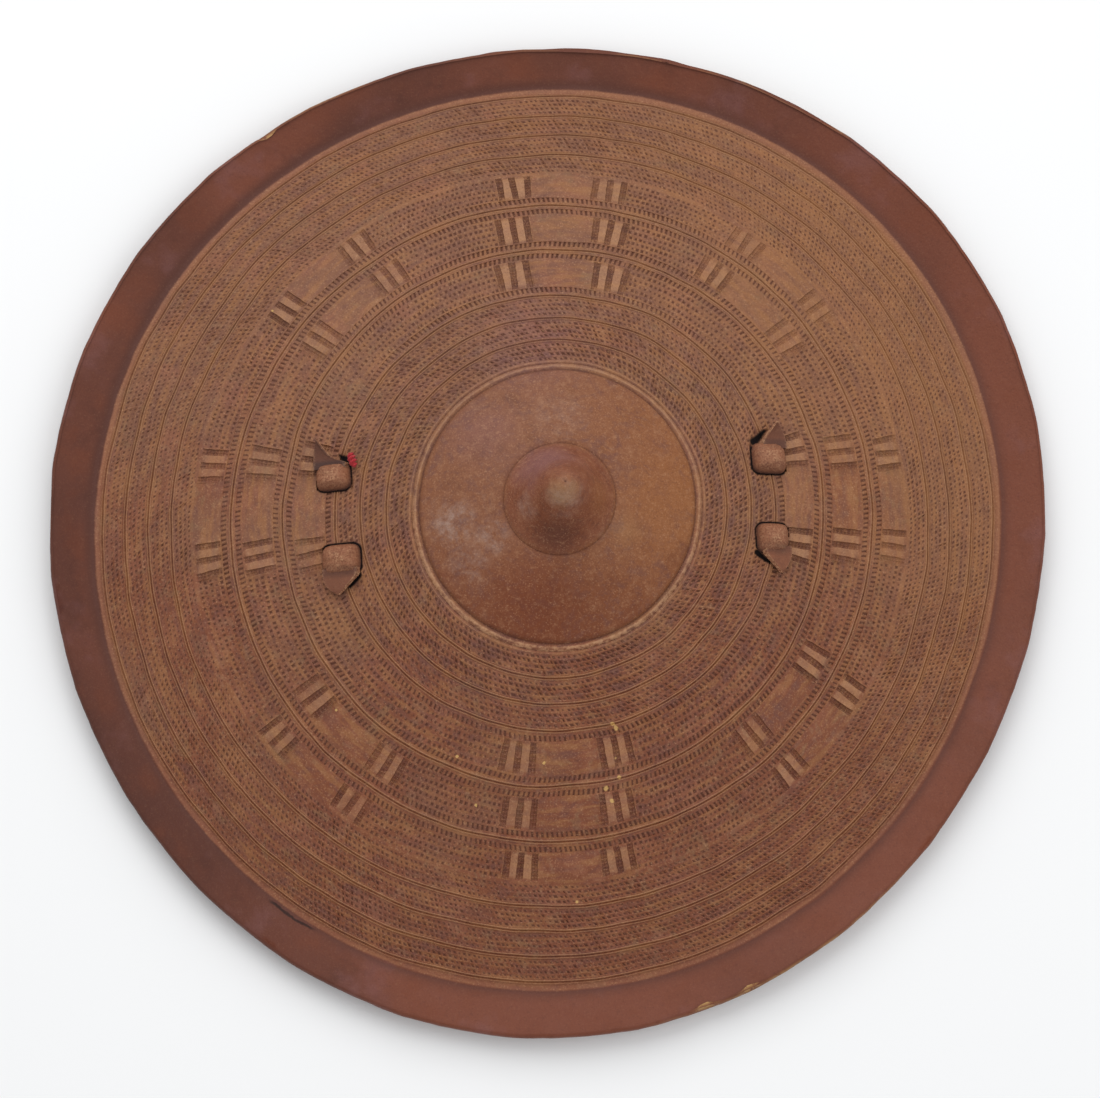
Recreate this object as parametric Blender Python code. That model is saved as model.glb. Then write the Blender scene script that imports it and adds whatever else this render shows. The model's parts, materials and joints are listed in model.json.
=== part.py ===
"""Round hide shield, lying face up: one moulded hide with a boss, tooled belts and panels and an
upturned rim, a leather carrying handle knotted through four slots, and an end of red yarn.

Run with blender --background --python part.py, or from the text editor.
Lengths are metres, +Z is up, and the shield stands on the flat foot under its valley.
"""
import math

import bmesh
import bpy
from mathutils import Matrix, Vector

# Widths of the hide's zones, from the middle outwards
BOSS_RADIUS = 0.0198
DISC_WIDTH = 0.0292
EDGE_GROOVE_WIDTH = 0.0015
RIDGE_WIDTH = 0.0010
INNER_BELT_PITCH = 0.00895
PANEL_BAND_PITCH = 0.0183
LAST_BAND_TRIM = 0.0050
OUTER_BELT_PITCH = 0.00825
VALLEY_MARGIN = 0.00325
RIM_WIDTH = 0.0155
INNER_BELTS = 3
PANEL_BANDS = 3
OUTER_BELTS = 4

# Heights and thicknesses of the hide; the valley's lift is in hide thicknesses
BOSS_HEIGHT = 0.0280
DISC_FALL = 0.0110
DISC_STEP = 0.0015
FIELD_FALL = 0.0405
RIM_RISE = 0.0056
HIDE_THICKNESS = 0.0045
LIP_THICKNESS = 0.0036
LIP_SLANT = 0.0010
FOOT_WIDTH = 0.0060
FOOT_MARGIN = 2 * FOOT_WIDTH
VALLEY_LIFT = 1.1

# Tooling cut into the smooth form
EDGE_GROOVE_DEPTH = 0.0009
BELT_DEPTH = 0.0005
LINE_DEPTH = 0.0004
LINE_SHOULDER = 0.0013
BAND_MARGIN = 0.0042
BAND_EDGE = 0.0006
PANEL_WIDTH = 0.0215
BAR_WIDTH = 0.0022
BAR_PITCH = 0.0050
BAR_DEPTH = 0.0010
BARS = 3
DOTTED_DEPTH = 0.0004

# Hand-set directions of the panels, in degrees from +X: every other one of the first list has an
# inner panel as well
PANEL_ANGLES = (4.4, 48.0, 88.5, 133.5, 179.5, 227.4, 272.8, 321.5)
INNER_PANEL_ANGLES = PANEL_ANGLES[::2]

# Hand shaping of the round: a slight oval, three soft corners and one broad bulge at the edge, and a
# chorded knife cut
OVAL = 0.0125
OVAL_AXIS = math.radians(60)
CORNER_REACH = 0.0020
CORNER_AXIS = math.radians(33.8)
CORNER_FADE = 8
BULGE_REACH = 0.0026
BULGE_AXIS = math.radians(50.6)
BULGE_SPREAD = math.radians(56.6)
BULGE_FADE = 16
EDGE_CHORDS = 27
CHORD_SHARE = 0.6

# Bends of the profile
TIP_ROUNDING = 0.22
BOSS_FLARE = 0.45
DISC_BEND = 1.4
FIELD_BEND = 1.15

# Carrying handle
HANDLE_TURN = math.radians(2.8)
HANDLE_OFFSET = 0.0009
KNOT_REACH = 0.0773
KNOT_SPREAD = 0.0144
TAB_WIDTH = 0.0124
STRAP_THICKNESS = 0.0030
KNOT_LENGTH = 0.0112
KNOT_HEIGHT = 0.0062
KNOT_LIFT = 0.0004
TIP_LENGTH = 0.0078
TIP_THICKNESS = 0.0020
TIP_RISE = 0.0012
TIP_SKEW = 0.72
STRAP_GAP = 0.0005
SLOT_CLEARANCE = 0.0004
EDGE_SOFTNESS = 0.0007
GRIP_WIDTH = 0.0180
GRIP_DEPTH = 0.0160
GRIP_HEIGHT = 0.0165
GRIP_LENGTH = 0.0780
GRIP_END_WIDTH = 0.0150
GRIP_END_DEPTH = STRAP_THICKNESS * 0.8
GRIP_LAP = TAB_WIDTH / 4

# Red yarn
YARN_DIAMETER = 0.0032
YARN_LENGTH = 0.0062
YARN_GAP = 0.0004
YARN_PROFILE = ((0, 0.45), (0.12, 0.85), (0.35, 1), (0.65, 1), (0.88, 0.85), (1, 0.45))

# Facets of each zone, and where its rings or layers lie as shares of its width
BOSS_COLUMNS = 30
INNER_COLUMNS = 40
BAND_COLUMNS = 54
EDGE_COLUMNS = 54
BACK_COLUMNS = 32
BACK_RINGS = 5
DOTTED_STEP = 0.0230
GRIP_SIDES = 10
GRIP_STATIONS = 11
YARN_SIDES = 10
ROLL_FACETS = 4
TIP_LAYERS = (0, 0.06, 0.38, TIP_SKEW, 0.86, 0.94, 1)
BOSS_RINGS = (0.15, 0.34, 0.56, 0.78, 1)
DISC_RINGS = (0.33, 0.68, 1)
BOSS_BACK_RINGS = (1.1, 0.85, 0.5)
SLOPE_STEP = 0.0005
SAME_DIRECTION = 1e-9
SHARP_ANGLE = math.radians(32)

# Radii and heights that follow from the sizes above
DISC_RADIUS = BOSS_RADIUS + DISC_WIDTH
GROOVE_RADIUS = DISC_RADIUS + EDGE_GROOVE_WIDTH
FIELD_RADIUS = GROOVE_RADIUS + RIDGE_WIDTH
BANDS_RADIUS = FIELD_RADIUS + INNER_BELTS * INNER_BELT_PITCH
OUTER_BELTS_RADIUS = BANDS_RADIUS + PANEL_BANDS * PANEL_BAND_PITCH - LAST_BAND_TRIM
VALLEY_RADIUS = OUTER_BELTS_RADIUS + OUTER_BELTS * OUTER_BELT_PITCH + VALLEY_MARGIN
EDGE_RADIUS = VALLEY_RADIUS + RIM_WIDTH
VALLEY_HEIGHT = HIDE_THICKNESS * VALLEY_LIFT
FIELD_HEIGHT = VALLEY_HEIGHT + FIELD_FALL
DISC_EDGE_HEIGHT = FIELD_HEIGHT + DISC_STEP
DISC_HEIGHT = DISC_EDGE_HEIGHT + DISC_FALL

COLOURS = {
    "shield_hide": ((0.20, 0.075, 0.036), 0.62),
    "carrying_handle": ((0.15, 0.058, 0.032), 0.60),
    "red_thread": ((0.52, 0.014, 0.022), 0.85),
}


def clear_scene():
    """Remove every object of the scene."""
    for thing in list(bpy.data.objects):
        bpy.data.objects.remove(thing, do_unlink=True)


def finish_object(name, mesh):
    """Link a mesh under its name, facing out, shaded smooth, with its own material."""
    colour, roughness = COLOURS[name]
    material = bpy.data.materials.new(name)
    material.use_nodes = True
    shader = material.node_tree.nodes["Principled BSDF"]
    shader.inputs["Base Color"].default_value = (*colour, 1)
    shader.inputs["Roughness"].default_value = roughness
    shader.inputs["Metallic"].default_value = 0
    mesh.materials.append(material)
    mesh.shade_smooth()
    mesh.set_sharp_from_angle(angle=SHARP_ANGLE)
    thing = bpy.data.objects.new(name, mesh)
    bpy.context.collection.objects.link(thing)
    return thing


def guide_object(name, mesh):
    """Link a mesh that only shapes another one."""
    thing = bpy.data.objects.new(name, mesh)
    thing.hide_render = True
    thing.display_type = "WIRE"
    bpy.context.collection.objects.link(thing)
    return thing


def combine(target, operation, guide):
    """Add an exact Boolean to an object."""
    step = target.modifiers.new(guide.name, "BOOLEAN")
    step.operation = operation
    step.solver = "EXACT"
    step.object = guide


def mesh_from(bm, name):
    """Turn a closed bmesh into a mesh whose faces point out."""
    bmesh.ops.recalc_face_normals(bm, faces=bm.faces)
    mesh = bpy.data.meshes.new(name)
    bm.to_mesh(mesh)
    bm.free()
    return mesh


def boss_height(share):
    """Boss above its foot: 1 at the rounded tip, 0 at the flared foot."""
    run = math.hypot(share, TIP_ROUNDING) - TIP_ROUNDING
    cone = 1 - run / (math.hypot(1, TIP_ROUNDING) - TIP_ROUNDING)
    bell = (1 + math.cos(math.pi * share)) / 2
    return (1 - BOSS_FLARE) * cone + BOSS_FLARE * bell


def front_height(radius):
    """Smooth front of the hide, without tooling."""
    if radius <= BOSS_RADIUS:
        return DISC_HEIGHT + BOSS_HEIGHT * boss_height(radius / BOSS_RADIUS)
    if radius <= DISC_RADIUS:
        share = (radius - BOSS_RADIUS) / DISC_WIDTH
        return DISC_EDGE_HEIGHT + DISC_FALL * (1 - share ** DISC_BEND)
    if radius <= FIELD_RADIUS:
        share = (radius - DISC_RADIUS) / (FIELD_RADIUS - DISC_RADIUS)
        return DISC_EDGE_HEIGHT - DISC_STEP * share
    if radius <= VALLEY_RADIUS:
        share = (radius - FIELD_RADIUS) / (VALLEY_RADIUS - FIELD_RADIUS)
        return FIELD_HEIGHT - FIELD_FALL * share ** FIELD_BEND
    return VALLEY_HEIGHT + RIM_RISE * (radius - VALLEY_RADIUS) / RIM_WIDTH


def stretch(angle, radius):
    """How far the hand-shaped round departs from a true circle, as a factor."""
    oval = OVAL * math.cos(2 * (angle - OVAL_AXIS))
    fade = (radius / EDGE_RADIUS) ** CORNER_FADE
    corner = CORNER_REACH / EDGE_RADIUS * math.cos(3 * (angle - CORNER_AXIS)) * fade
    away = (angle - BULGE_AXIS + math.pi) % (2 * math.pi) - math.pi
    swell = math.exp(-(away / BULGE_SPREAD) ** 2) * min(1, radius / VALLEY_RADIUS) ** BULGE_FADE
    return 1 + oval + corner + BULGE_REACH / EDGE_RADIUS * swell


def chord_cut(angle):
    """Factor that flattens the cut edge into soft chords between its corners."""
    half = math.pi / EDGE_CHORDS
    inside = angle % (2 * half) - half
    return 1 + CHORD_SHARE * (math.cos(half) / math.cos(inside) - 1)


def spot(radius, angle, height):
    """Point of the shaped round at a radius, direction and height."""
    reach = radius * stretch(angle, radius)
    return Vector((reach * math.cos(angle), reach * math.sin(angle), height))


def turns(columns):
    """Evenly spaced directions."""
    return [2 * math.pi * i / columns for i in range(columns)]


def round_ring(radius, columns, depth=0.0):
    """One ring of the front: its radius and each column's direction and depth of tooling."""
    return radius, [(angle, depth) for angle in turns(columns)]


def boss_and_disc_rings():
    """Rings from beside the tip to the ridge round the disc."""
    rings = [round_ring(BOSS_RADIUS * share, BOSS_COLUMNS) for share in BOSS_RINGS]
    rings += [round_ring(BOSS_RADIUS + DISC_WIDTH * share, BOSS_COLUMNS) for share in DISC_RINGS]
    rings.append(round_ring(GROOVE_RADIUS, INNER_COLUMNS, EDGE_GROOVE_DEPTH))
    rings.append(round_ring(FIELD_RADIUS, INNER_COLUMNS))
    return rings


def belt_rings(start, pitch, count, columns):
    """Belts of dots: a shallow hollow, a plain shoulder, a scored line and the next shoulder."""
    rings = []
    for i in range(count):
        inner = start + i * pitch
        outer = inner + pitch
        rings.append(round_ring((inner + outer) / 2, columns, BELT_DEPTH))
        rings.append(round_ring(outer - LINE_SHOULDER, columns))
        rings.append(round_ring(outer, columns, LINE_DEPTH))
        rings.append(round_ring(outer + LINE_SHOULDER, columns))
    return rings


def band_columns(radius, aims):
    """Columns of a panel band: plain panels, three bars each side and sunk dotted fields between."""
    columns = []
    half_panel = PANEL_WIDTH / 2
    group_end = half_panel + (BARS - 1) * BAR_PITCH + BAR_WIDTH
    for i, aim in enumerate(aims):
        centre = math.radians(aim)
        for side in (-1, 1):
            for bar in range(BARS):
                start = half_panel + bar * BAR_PITCH
                outer_depth = DOTTED_DEPTH if bar == BARS - 1 else 0.0
                columns.append((centre + side * start / radius, 0.0))
                columns.append((centre + side * (start + BAR_WIDTH / 2) / radius, BAR_DEPTH))
                columns.append((centre + side * (start + BAR_WIDTH) / radius, outer_depth))
        following = math.radians(aims[(i + 1) % len(aims)])
        field_start = centre + group_end / radius
        span = (following - centre) % (2 * math.pi) - 2 * group_end / radius
        steps = max(2, round(span * radius / DOTTED_STEP))
        columns += [(field_start + span * k / steps, DOTTED_DEPTH) for k in range(1, steps)]
    return sorted((angle % (2 * math.pi), depth) for angle, depth in columns)


def panel_band_rings():
    """The three bands of panels with a scored line between each two."""
    rings = []
    for i in range(PANEL_BANDS):
        inner = BANDS_RADIUS + i * PANEL_BAND_PITCH + BAND_MARGIN
        line = BANDS_RADIUS + (i + 1) * PANEL_BAND_PITCH
        last = i == PANEL_BANDS - 1
        outer = OUTER_BELTS_RADIUS if last else line - BAND_MARGIN
        aims = INNER_PANEL_ANGLES if i == 0 else PANEL_ANGLES
        columns = band_columns((inner + outer) / 2, aims)
        flat = [(angle, 0.0) for angle, _ in columns]
        rings.append((inner, flat))
        rings.append((inner + BAND_EDGE, columns))
        rings.append((outer - BAND_EDGE, columns))
        rings.append((outer, flat))
        if not last:
            rings.append(round_ring(line - LINE_SHOULDER, BAND_COLUMNS))
            rings.append(round_ring(line, BAND_COLUMNS, LINE_DEPTH))
            rings.append(round_ring(line + LINE_SHOULDER, BAND_COLUMNS))
    return rings


def front_rings():
    """All rings of the front, from the tip to the foot of the rim."""
    rings = boss_and_disc_rings()
    rings += belt_rings(FIELD_RADIUS, INNER_BELT_PITCH, INNER_BELTS, INNER_COLUMNS)
    rings += panel_band_rings()
    rings += belt_rings(OUTER_BELTS_RADIUS, OUTER_BELT_PITCH, OUTER_BELTS, EDGE_COLUMNS)
    rings.append(round_ring(VALLEY_RADIUS, EDGE_COLUMNS))
    rings.append(round_ring(VALLEY_RADIUS + RIM_WIDTH / 2, EDGE_COLUMNS))
    return rings


def add_ring(bm, points):
    """Vertices of one ring with their directions round the middle."""
    return [(angle, bm.verts.new(point)) for angle, point in points]


def stitch(bm, inner, outer):
    """Join two rings that may have different columns with a strip of faces."""
    same = len(inner) == len(outer)
    if same and all(abs(a[0] - b[0]) < SAME_DIRECTION for a, b in zip(inner, outer)):
        for i, (_, low) in enumerate(inner):
            j = (i + 1) % len(inner)
            bm.faces.new((low, outer[i][1], outer[j][1], inner[j][1]))
        return
    i = j = 0
    while i < len(inner) or j < len(outer):
        low = inner[i % len(inner)][1]
        high = outer[j % len(outer)][1]
        next_low = inner[(i + 1) % len(inner)][0] + 2 * math.pi * ((i + 1) // len(inner))
        next_high = outer[(j + 1) % len(outer)][0] + 2 * math.pi * ((j + 1) // len(outer))
        if j >= len(outer) or (i < len(inner) and next_low <= next_high):
            bm.faces.new((low, high, inner[(i + 1) % len(inner)][1]))
            i += 1
        else:
            bm.faces.new((low, high, outer[(j + 1) % len(outer)][1]))
            j += 1


def cap(bm, ring, height):
    """Close a small ring with a fan round a point on the axis."""
    middle = bm.verts.new((0, 0, height))
    for i, (_, vert) in enumerate(ring):
        bm.faces.new((middle, vert, ring[(i + 1) % len(ring)][1]))


def back_points(radius, columns):
    """Ring of the back, set in from the front by the hide's thickness along its slope."""
    step = SLOPE_STEP
    rise = (front_height(radius + step) - front_height(radius - step)) / (2 * step)
    length = math.hypot(rise, 1)
    inward = radius + HIDE_THICKNESS * rise / length
    height = front_height(radius) - HIDE_THICKNESS / length
    return [(angle, spot(inward, angle, height)) for angle in turns(columns)]


def edge_points(radius, height):
    """Ring of the cut edge, flattened into chords."""
    return [(angle, spot(radius * chord_cut(angle), angle, height)) for angle in turns(EDGE_COLUMNS)]


def back_rings(bm):
    """Rings of the back from the lip to the hollow of the boss."""
    lip = front_height(EDGE_RADIUS) - LIP_THICKNESS
    foot = FOOT_WIDTH / 2
    rings = [edge_points(EDGE_RADIUS, lip)]
    for radius in (VALLEY_RADIUS + foot, VALLEY_RADIUS - foot):
        rings.append([(angle, spot(radius, angle, 0.0)) for angle in turns(EDGE_COLUMNS)])
    start = VALLEY_RADIUS - FOOT_MARGIN
    for k in range(BACK_RINGS):
        radius = start + (FIELD_RADIUS - start) * k / (BACK_RINGS - 1)
        rings.append(back_points(radius, BACK_COLUMNS))
    rings.append(back_points(BOSS_RADIUS + DISC_WIDTH / 2, BACK_COLUMNS))
    for share in BOSS_BACK_RINGS:
        rings.append(back_points(BOSS_RADIUS * share, BACK_COLUMNS))
    return [add_ring(bm, points) for points in rings]


def shield_mesh():
    """The hide as one closed skin: front, cut edge and back."""
    bm = bmesh.new()
    front = []
    for radius, columns in front_rings():
        points = [(angle, spot(radius, angle, front_height(radius) - depth)) for angle, depth in columns]
        front.append(add_ring(bm, points))
    front.append(add_ring(bm, edge_points(EDGE_RADIUS - LIP_SLANT, front_height(EDGE_RADIUS - LIP_SLANT))))
    back = back_rings(bm)
    skin = front + back
    for inner, outer in zip(skin, skin[1:]):
        stitch(bm, inner, outer)
    cap(bm, front[0], front_height(0))
    cap(bm, back[-1], front_height(0) - HIDE_THICKNESS)
    return mesh_from(bm, "shield_hide")


def handle_spot(along, across):
    """Place in plan of a point given along and across the handle."""
    flat = Matrix.Rotation(HANDLE_TURN, 3, "Z") @ Vector((along, across, 0))
    return flat + Vector((0, HANDLE_OFFSET, 0))


def smooth_point(flat):
    """Point of the smooth front above a place in plan."""
    angle = math.atan2(flat.y, flat.x)
    radius = flat.xy.length / (1 + OVAL * math.cos(2 * (angle - OVAL_AXIS)))
    return Vector((flat.x, flat.y, front_height(radius)))


def on_hide(along, across, above):
    """Point at a distance square off the smooth front, given along and across the handle."""
    step = SLOPE_STEP
    flat = handle_spot(along, across)
    east = smooth_point(flat + Vector((step, 0, 0))) - smooth_point(flat - Vector((step, 0, 0)))
    north = smooth_point(flat + Vector((0, step, 0))) - smooth_point(flat - Vector((0, step, 0)))
    return smooth_point(flat) + above * east.cross(north).normalized()


def knot_outline(flank, tip_reach):
    """Half of a strap end seen along the grip: cross strap, riser, rolled knot and pointed tip."""
    riser = KNOT_SPREAD - KNOT_LENGTH / 2 + STRAP_THICKNESS / 2
    inner = riser - STRAP_THICKNESS / 2
    outer = riser + STRAP_THICKNESS / 2
    end = KNOT_SPREAD + KNOT_LENGTH / 2
    under = -HIDE_THICKNESS - STRAP_GAP
    low = under - STRAP_THICKNESS
    roll = KNOT_HEIGHT / 2
    points = [(0.0, low), (outer - EDGE_SOFTNESS, low), (outer, low + EDGE_SOFTNESS)]
    points += [(outer, KNOT_LIFT), (end - roll, KNOT_LIFT)]
    points += [(end, KNOT_LIFT), (end + tip_reach, KNOT_LIFT + TIP_RISE)]
    points += [(end + tip_reach, KNOT_LIFT + TIP_RISE + TIP_THICKNESS / 2), (end, KNOT_LIFT + TIP_THICKNESS)]
    for k in range(1, ROLL_FACETS + 1):
        turn = math.pi / 2 * k / ROLL_FACETS
        points.append((end - roll + roll * math.cos(turn), KNOT_LIFT + roll + roll * math.sin(turn)))
    for k in range(ROLL_FACETS):
        turn = math.pi / 2 * (1 + k / ROLL_FACETS)
        points.append((inner + roll + roll * math.cos(turn), KNOT_LIFT + roll + roll * math.sin(turn)))
    points += [(inner, KNOT_LIFT + roll), (inner, under), (0.0, under)]
    return [(flank * across, above) for across, above in points]


def strap_end_outline(tip_reach):
    """Whole outline of a strap end: one half and its mirror image, joined in the middle."""
    near = knot_outline(1, tip_reach)
    far = knot_outline(-1, tip_reach)
    return near + far[-2:0:-1]


def soften(outline, inset):
    """Draw an outline in by a small distance."""
    drawn = []
    count = len(outline)
    for i in range(count):
        before = Vector(outline[i - 1])
        here = Vector(outline[i])
        after = Vector(outline[(i + 1) % count])
        lead = (here - before).normalized()
        trail = (after - here).normalized()
        inward = Vector((-lead.y, lead.x)) + Vector((-trail.y, trail.x))
        drawn.append(tuple(here + inward.normalized() * inset))
    return drawn


def tip_reach_at(share):
    """Length of the pointed tip across its width: a skewed triangle, longest away from the boss."""
    if share < TIP_SKEW:
        return TIP_LENGTH * share / TIP_SKEW
    return TIP_LENGTH * (1 - share) / (1 - TIP_SKEW)


def strap_end_mesh(side):
    """Cross strap, two risers, two knots and two tips at one end of the handle."""
    bm = bmesh.new()
    layers = []
    for share in TIP_LAYERS:
        along = side * (KNOT_REACH + TAB_WIDTH * (share - 0.5))
        outline = strap_end_outline(max(tip_reach_at(share), EDGE_SOFTNESS))
        if share in (0, 1):
            outline = soften(outline, EDGE_SOFTNESS)
        layers.append([bm.verts.new(on_hide(along, across, above)) for across, above in outline])
    for low, high in zip(layers, layers[1:]):
        for i in range(len(low)):
            j = (i + 1) % len(low)
            bm.faces.new((low[i], low[j], high[j], high[i]))
    bm.faces.new(layers[0])
    bm.faces.new(layers[-1])
    return mesh_from(bm, "strap_end")


def slot_mesh():
    """Four cutters for the slots that the strap's arms pass through."""
    bm = bmesh.new()
    riser = KNOT_SPREAD - KNOT_LENGTH / 2 + STRAP_THICKNESS / 2
    half_length = TAB_WIDTH / 2 + SLOT_CLEARANCE
    half_width = STRAP_THICKNESS / 2 + SLOT_CLEARANCE
    for side in (-1, 1):
        for flank in (-1, 1):
            layers = []
            for above in (-2 * HIDE_THICKNESS, HIDE_THICKNESS):
                corners = []
                for a, b in ((-1, -1), (1, -1), (1, 1), (-1, 1)):
                    along = side * KNOT_REACH + a * half_length
                    across = flank * riser + b * half_width
                    corners.append(bm.verts.new(on_hide(along, across, above)))
                layers.append(corners)
            low, high = layers
            bm.faces.new(low)
            bm.faces.new(high)
            for i in range(4):
                j = (i + 1) % 4
                bm.faces.new((low[i], low[j], high[j], high[i]))
    return mesh_from(bm, "slots")


def grip_mesh():
    """Rolled grip across the back, flattened where it meets the strap ends."""
    bm = bmesh.new()
    end = KNOT_REACH - GRIP_LAP
    under = HIDE_THICKNESS + STRAP_GAP + STRAP_THICKNESS / 2
    loops = []
    for k in range(GRIP_STATIONS):
        along = end * (2 * k / (GRIP_STATIONS - 1) - 1)
        anchor = on_hide(math.copysign(end, along), 0, -under)
        share = min(1, max(0, (abs(along) - GRIP_LENGTH / 2) / (end - GRIP_LENGTH / 2)))
        ease = share * share * (3 - 2 * share)
        middle = handle_spot(along, 0)
        middle.z = GRIP_HEIGHT + (anchor.z - GRIP_HEIGHT) * ease
        half_width = (GRIP_WIDTH + (GRIP_END_WIDTH - GRIP_WIDTH) * ease) / 2
        half_depth = (GRIP_DEPTH + (GRIP_END_DEPTH - GRIP_DEPTH) * ease) / 2
        loop = []
        for turn in turns(GRIP_SIDES):
            aside = handle_spot(0, half_width * math.cos(turn)) - handle_spot(0, 0)
            loop.append(bm.verts.new(middle + aside + Vector((0, 0, half_depth * math.sin(turn)))))
        loops.append(loop)
    for low, high in zip(loops, loops[1:]):
        for i in range(GRIP_SIDES):
            j = (i + 1) % GRIP_SIDES
            bm.faces.new((low[i], low[j], high[j], high[i]))
    bm.faces.new(loops[0])
    bm.faces.new(loops[-1])
    return mesh_from(bm, "carrying_handle")


def yarn_mesh():
    """Short plump end of yarn lying beside the upper left knot."""
    bm = bmesh.new()
    radius = YARN_DIAMETER / 2
    along = -KNOT_REACH + TAB_WIDTH / 2 + YARN_GAP + radius
    start = KNOT_SPREAD + KNOT_LENGTH / 2 - YARN_LENGTH / 2
    above = KNOT_LIFT + radius
    loops = []
    for share, swell in YARN_PROFILE:
        across = start + YARN_LENGTH * share
        loop = []
        for turn in turns(YARN_SIDES):
            aside = radius * swell * math.cos(turn)
            lift = radius * swell * math.sin(turn)
            loop.append(bm.verts.new(on_hide(along + aside, across, above + lift)))
        loops.append(loop)
    for low, high in zip(loops, loops[1:]):
        for i in range(YARN_SIDES):
            j = (i + 1) % YARN_SIDES
            bm.faces.new((low[i], low[j], high[j], high[i]))
    bm.faces.new(loops[0])
    bm.faces.new(loops[-1])
    return mesh_from(bm, "red_thread")


def centre_of_outline():
    """Middle of the cut edge's box, which stands over the part's origin."""
    rings = (edge_points(EDGE_RADIUS, 0.0), edge_points(EDGE_RADIUS - LIP_SLANT, 0.0))
    points = [point for ring in rings for _, point in ring]
    xs = [point.x for point in points]
    ys = [point.y for point in points]
    return Vector(((min(xs) + max(xs)) / 2, (min(ys) + max(ys)) / 2, 0))


def main():
    clear_scene()
    hide = finish_object("shield_hide", shield_mesh())
    slots = guide_object("slots", slot_mesh())
    combine(hide, "DIFFERENCE", slots)
    handle = finish_object("carrying_handle", grip_mesh())
    strap_ends = []
    for name, side in (("left_strap", -1), ("right_strap", 1)):
        strap_ends.append(guide_object(name, strap_end_mesh(side)))
        combine(handle, "UNION", strap_ends[-1])
    thread = finish_object("red_thread", yarn_mesh())
    home = bpy.data.objects.new("shield_origin", None)
    bpy.context.collection.objects.link(home)
    home.location = -centre_of_outline()
    for thing in (hide, slots, handle, *strap_ends, thread):
        thing.parent = home


main()
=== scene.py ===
"""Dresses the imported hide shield: the tooled hide, the knotted carrying handle, the red yarn and the stage.

The file is laid out as an add-on and is run as a script. Lengths are metres and +Z is up.
"""
import math
import json
from types import SimpleNamespace
from typing import NamedTuple

import bpy
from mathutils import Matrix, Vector, noise

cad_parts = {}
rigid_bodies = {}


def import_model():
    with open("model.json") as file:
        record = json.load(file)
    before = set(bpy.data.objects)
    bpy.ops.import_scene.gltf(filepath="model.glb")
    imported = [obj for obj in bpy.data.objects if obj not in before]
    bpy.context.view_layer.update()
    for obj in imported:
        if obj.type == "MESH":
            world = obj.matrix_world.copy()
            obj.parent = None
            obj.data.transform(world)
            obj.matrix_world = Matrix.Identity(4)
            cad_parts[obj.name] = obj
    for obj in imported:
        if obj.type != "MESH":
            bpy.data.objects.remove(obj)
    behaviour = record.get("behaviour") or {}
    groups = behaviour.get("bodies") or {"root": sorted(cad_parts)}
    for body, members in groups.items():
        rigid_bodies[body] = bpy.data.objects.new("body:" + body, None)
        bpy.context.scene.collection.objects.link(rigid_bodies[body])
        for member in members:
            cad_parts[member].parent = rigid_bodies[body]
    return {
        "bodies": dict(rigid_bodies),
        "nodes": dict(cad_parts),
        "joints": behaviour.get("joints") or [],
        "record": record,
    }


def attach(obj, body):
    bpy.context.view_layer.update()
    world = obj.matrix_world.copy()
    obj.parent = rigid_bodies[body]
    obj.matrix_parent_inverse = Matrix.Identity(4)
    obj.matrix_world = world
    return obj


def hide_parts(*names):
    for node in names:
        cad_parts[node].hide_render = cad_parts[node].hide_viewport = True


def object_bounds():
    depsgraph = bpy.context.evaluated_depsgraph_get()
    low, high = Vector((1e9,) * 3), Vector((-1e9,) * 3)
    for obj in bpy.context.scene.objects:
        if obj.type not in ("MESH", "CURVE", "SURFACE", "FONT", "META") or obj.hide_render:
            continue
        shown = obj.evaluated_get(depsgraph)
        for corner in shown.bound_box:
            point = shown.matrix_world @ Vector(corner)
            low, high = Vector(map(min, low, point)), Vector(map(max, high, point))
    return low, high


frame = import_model()
CAD_LOW, CAD_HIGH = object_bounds()

bl_info = {
    "name": "Hide shield",
    "version": (1, 0, 0),
    "blender": (4, 5, 0),
    "location": "3D View > Sidebar > Shield",
    "description": "Makes a tooled hide shield with a knotted carrying handle",
    "category": "Object",
}

TURN = 2 * math.pi

# Directions of the panels, in degrees from +X, in the outer and middle bands and in the inner one.
# The inner band has every other panel.
PANEL_ANGLES = (4.4, 48.0, 88.5, 133.5, 179.5, 227.4, 272.8, 321.5)
INNER_PANEL_ANGLES = PANEL_ANGLES[::2]


def length(name, description, default):
    """A length property in metres."""
    return bpy.props.FloatProperty(
        name=name, description=description, default=default, unit="LENGTH", precision=5)


def number(name, description, default):
    """A plain number property."""
    return bpy.props.FloatProperty(name=name, description=description, default=default)


def count(name, description, default):
    """A whole number property."""
    return bpy.props.IntProperty(name=name, description=description, default=default, min=1)


def angle(name, description, degrees):
    """An angle property, given in degrees."""
    return bpy.props.FloatProperty(
        name=name, description=description, default=math.radians(degrees), subtype="ANGLE")


def colour(name, description, default):
    """A colour property in linear RGB."""
    return bpy.props.FloatVectorProperty(
        name=name, description=description, default=default, size=3, subtype="COLOR", min=0, max=1)


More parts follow.
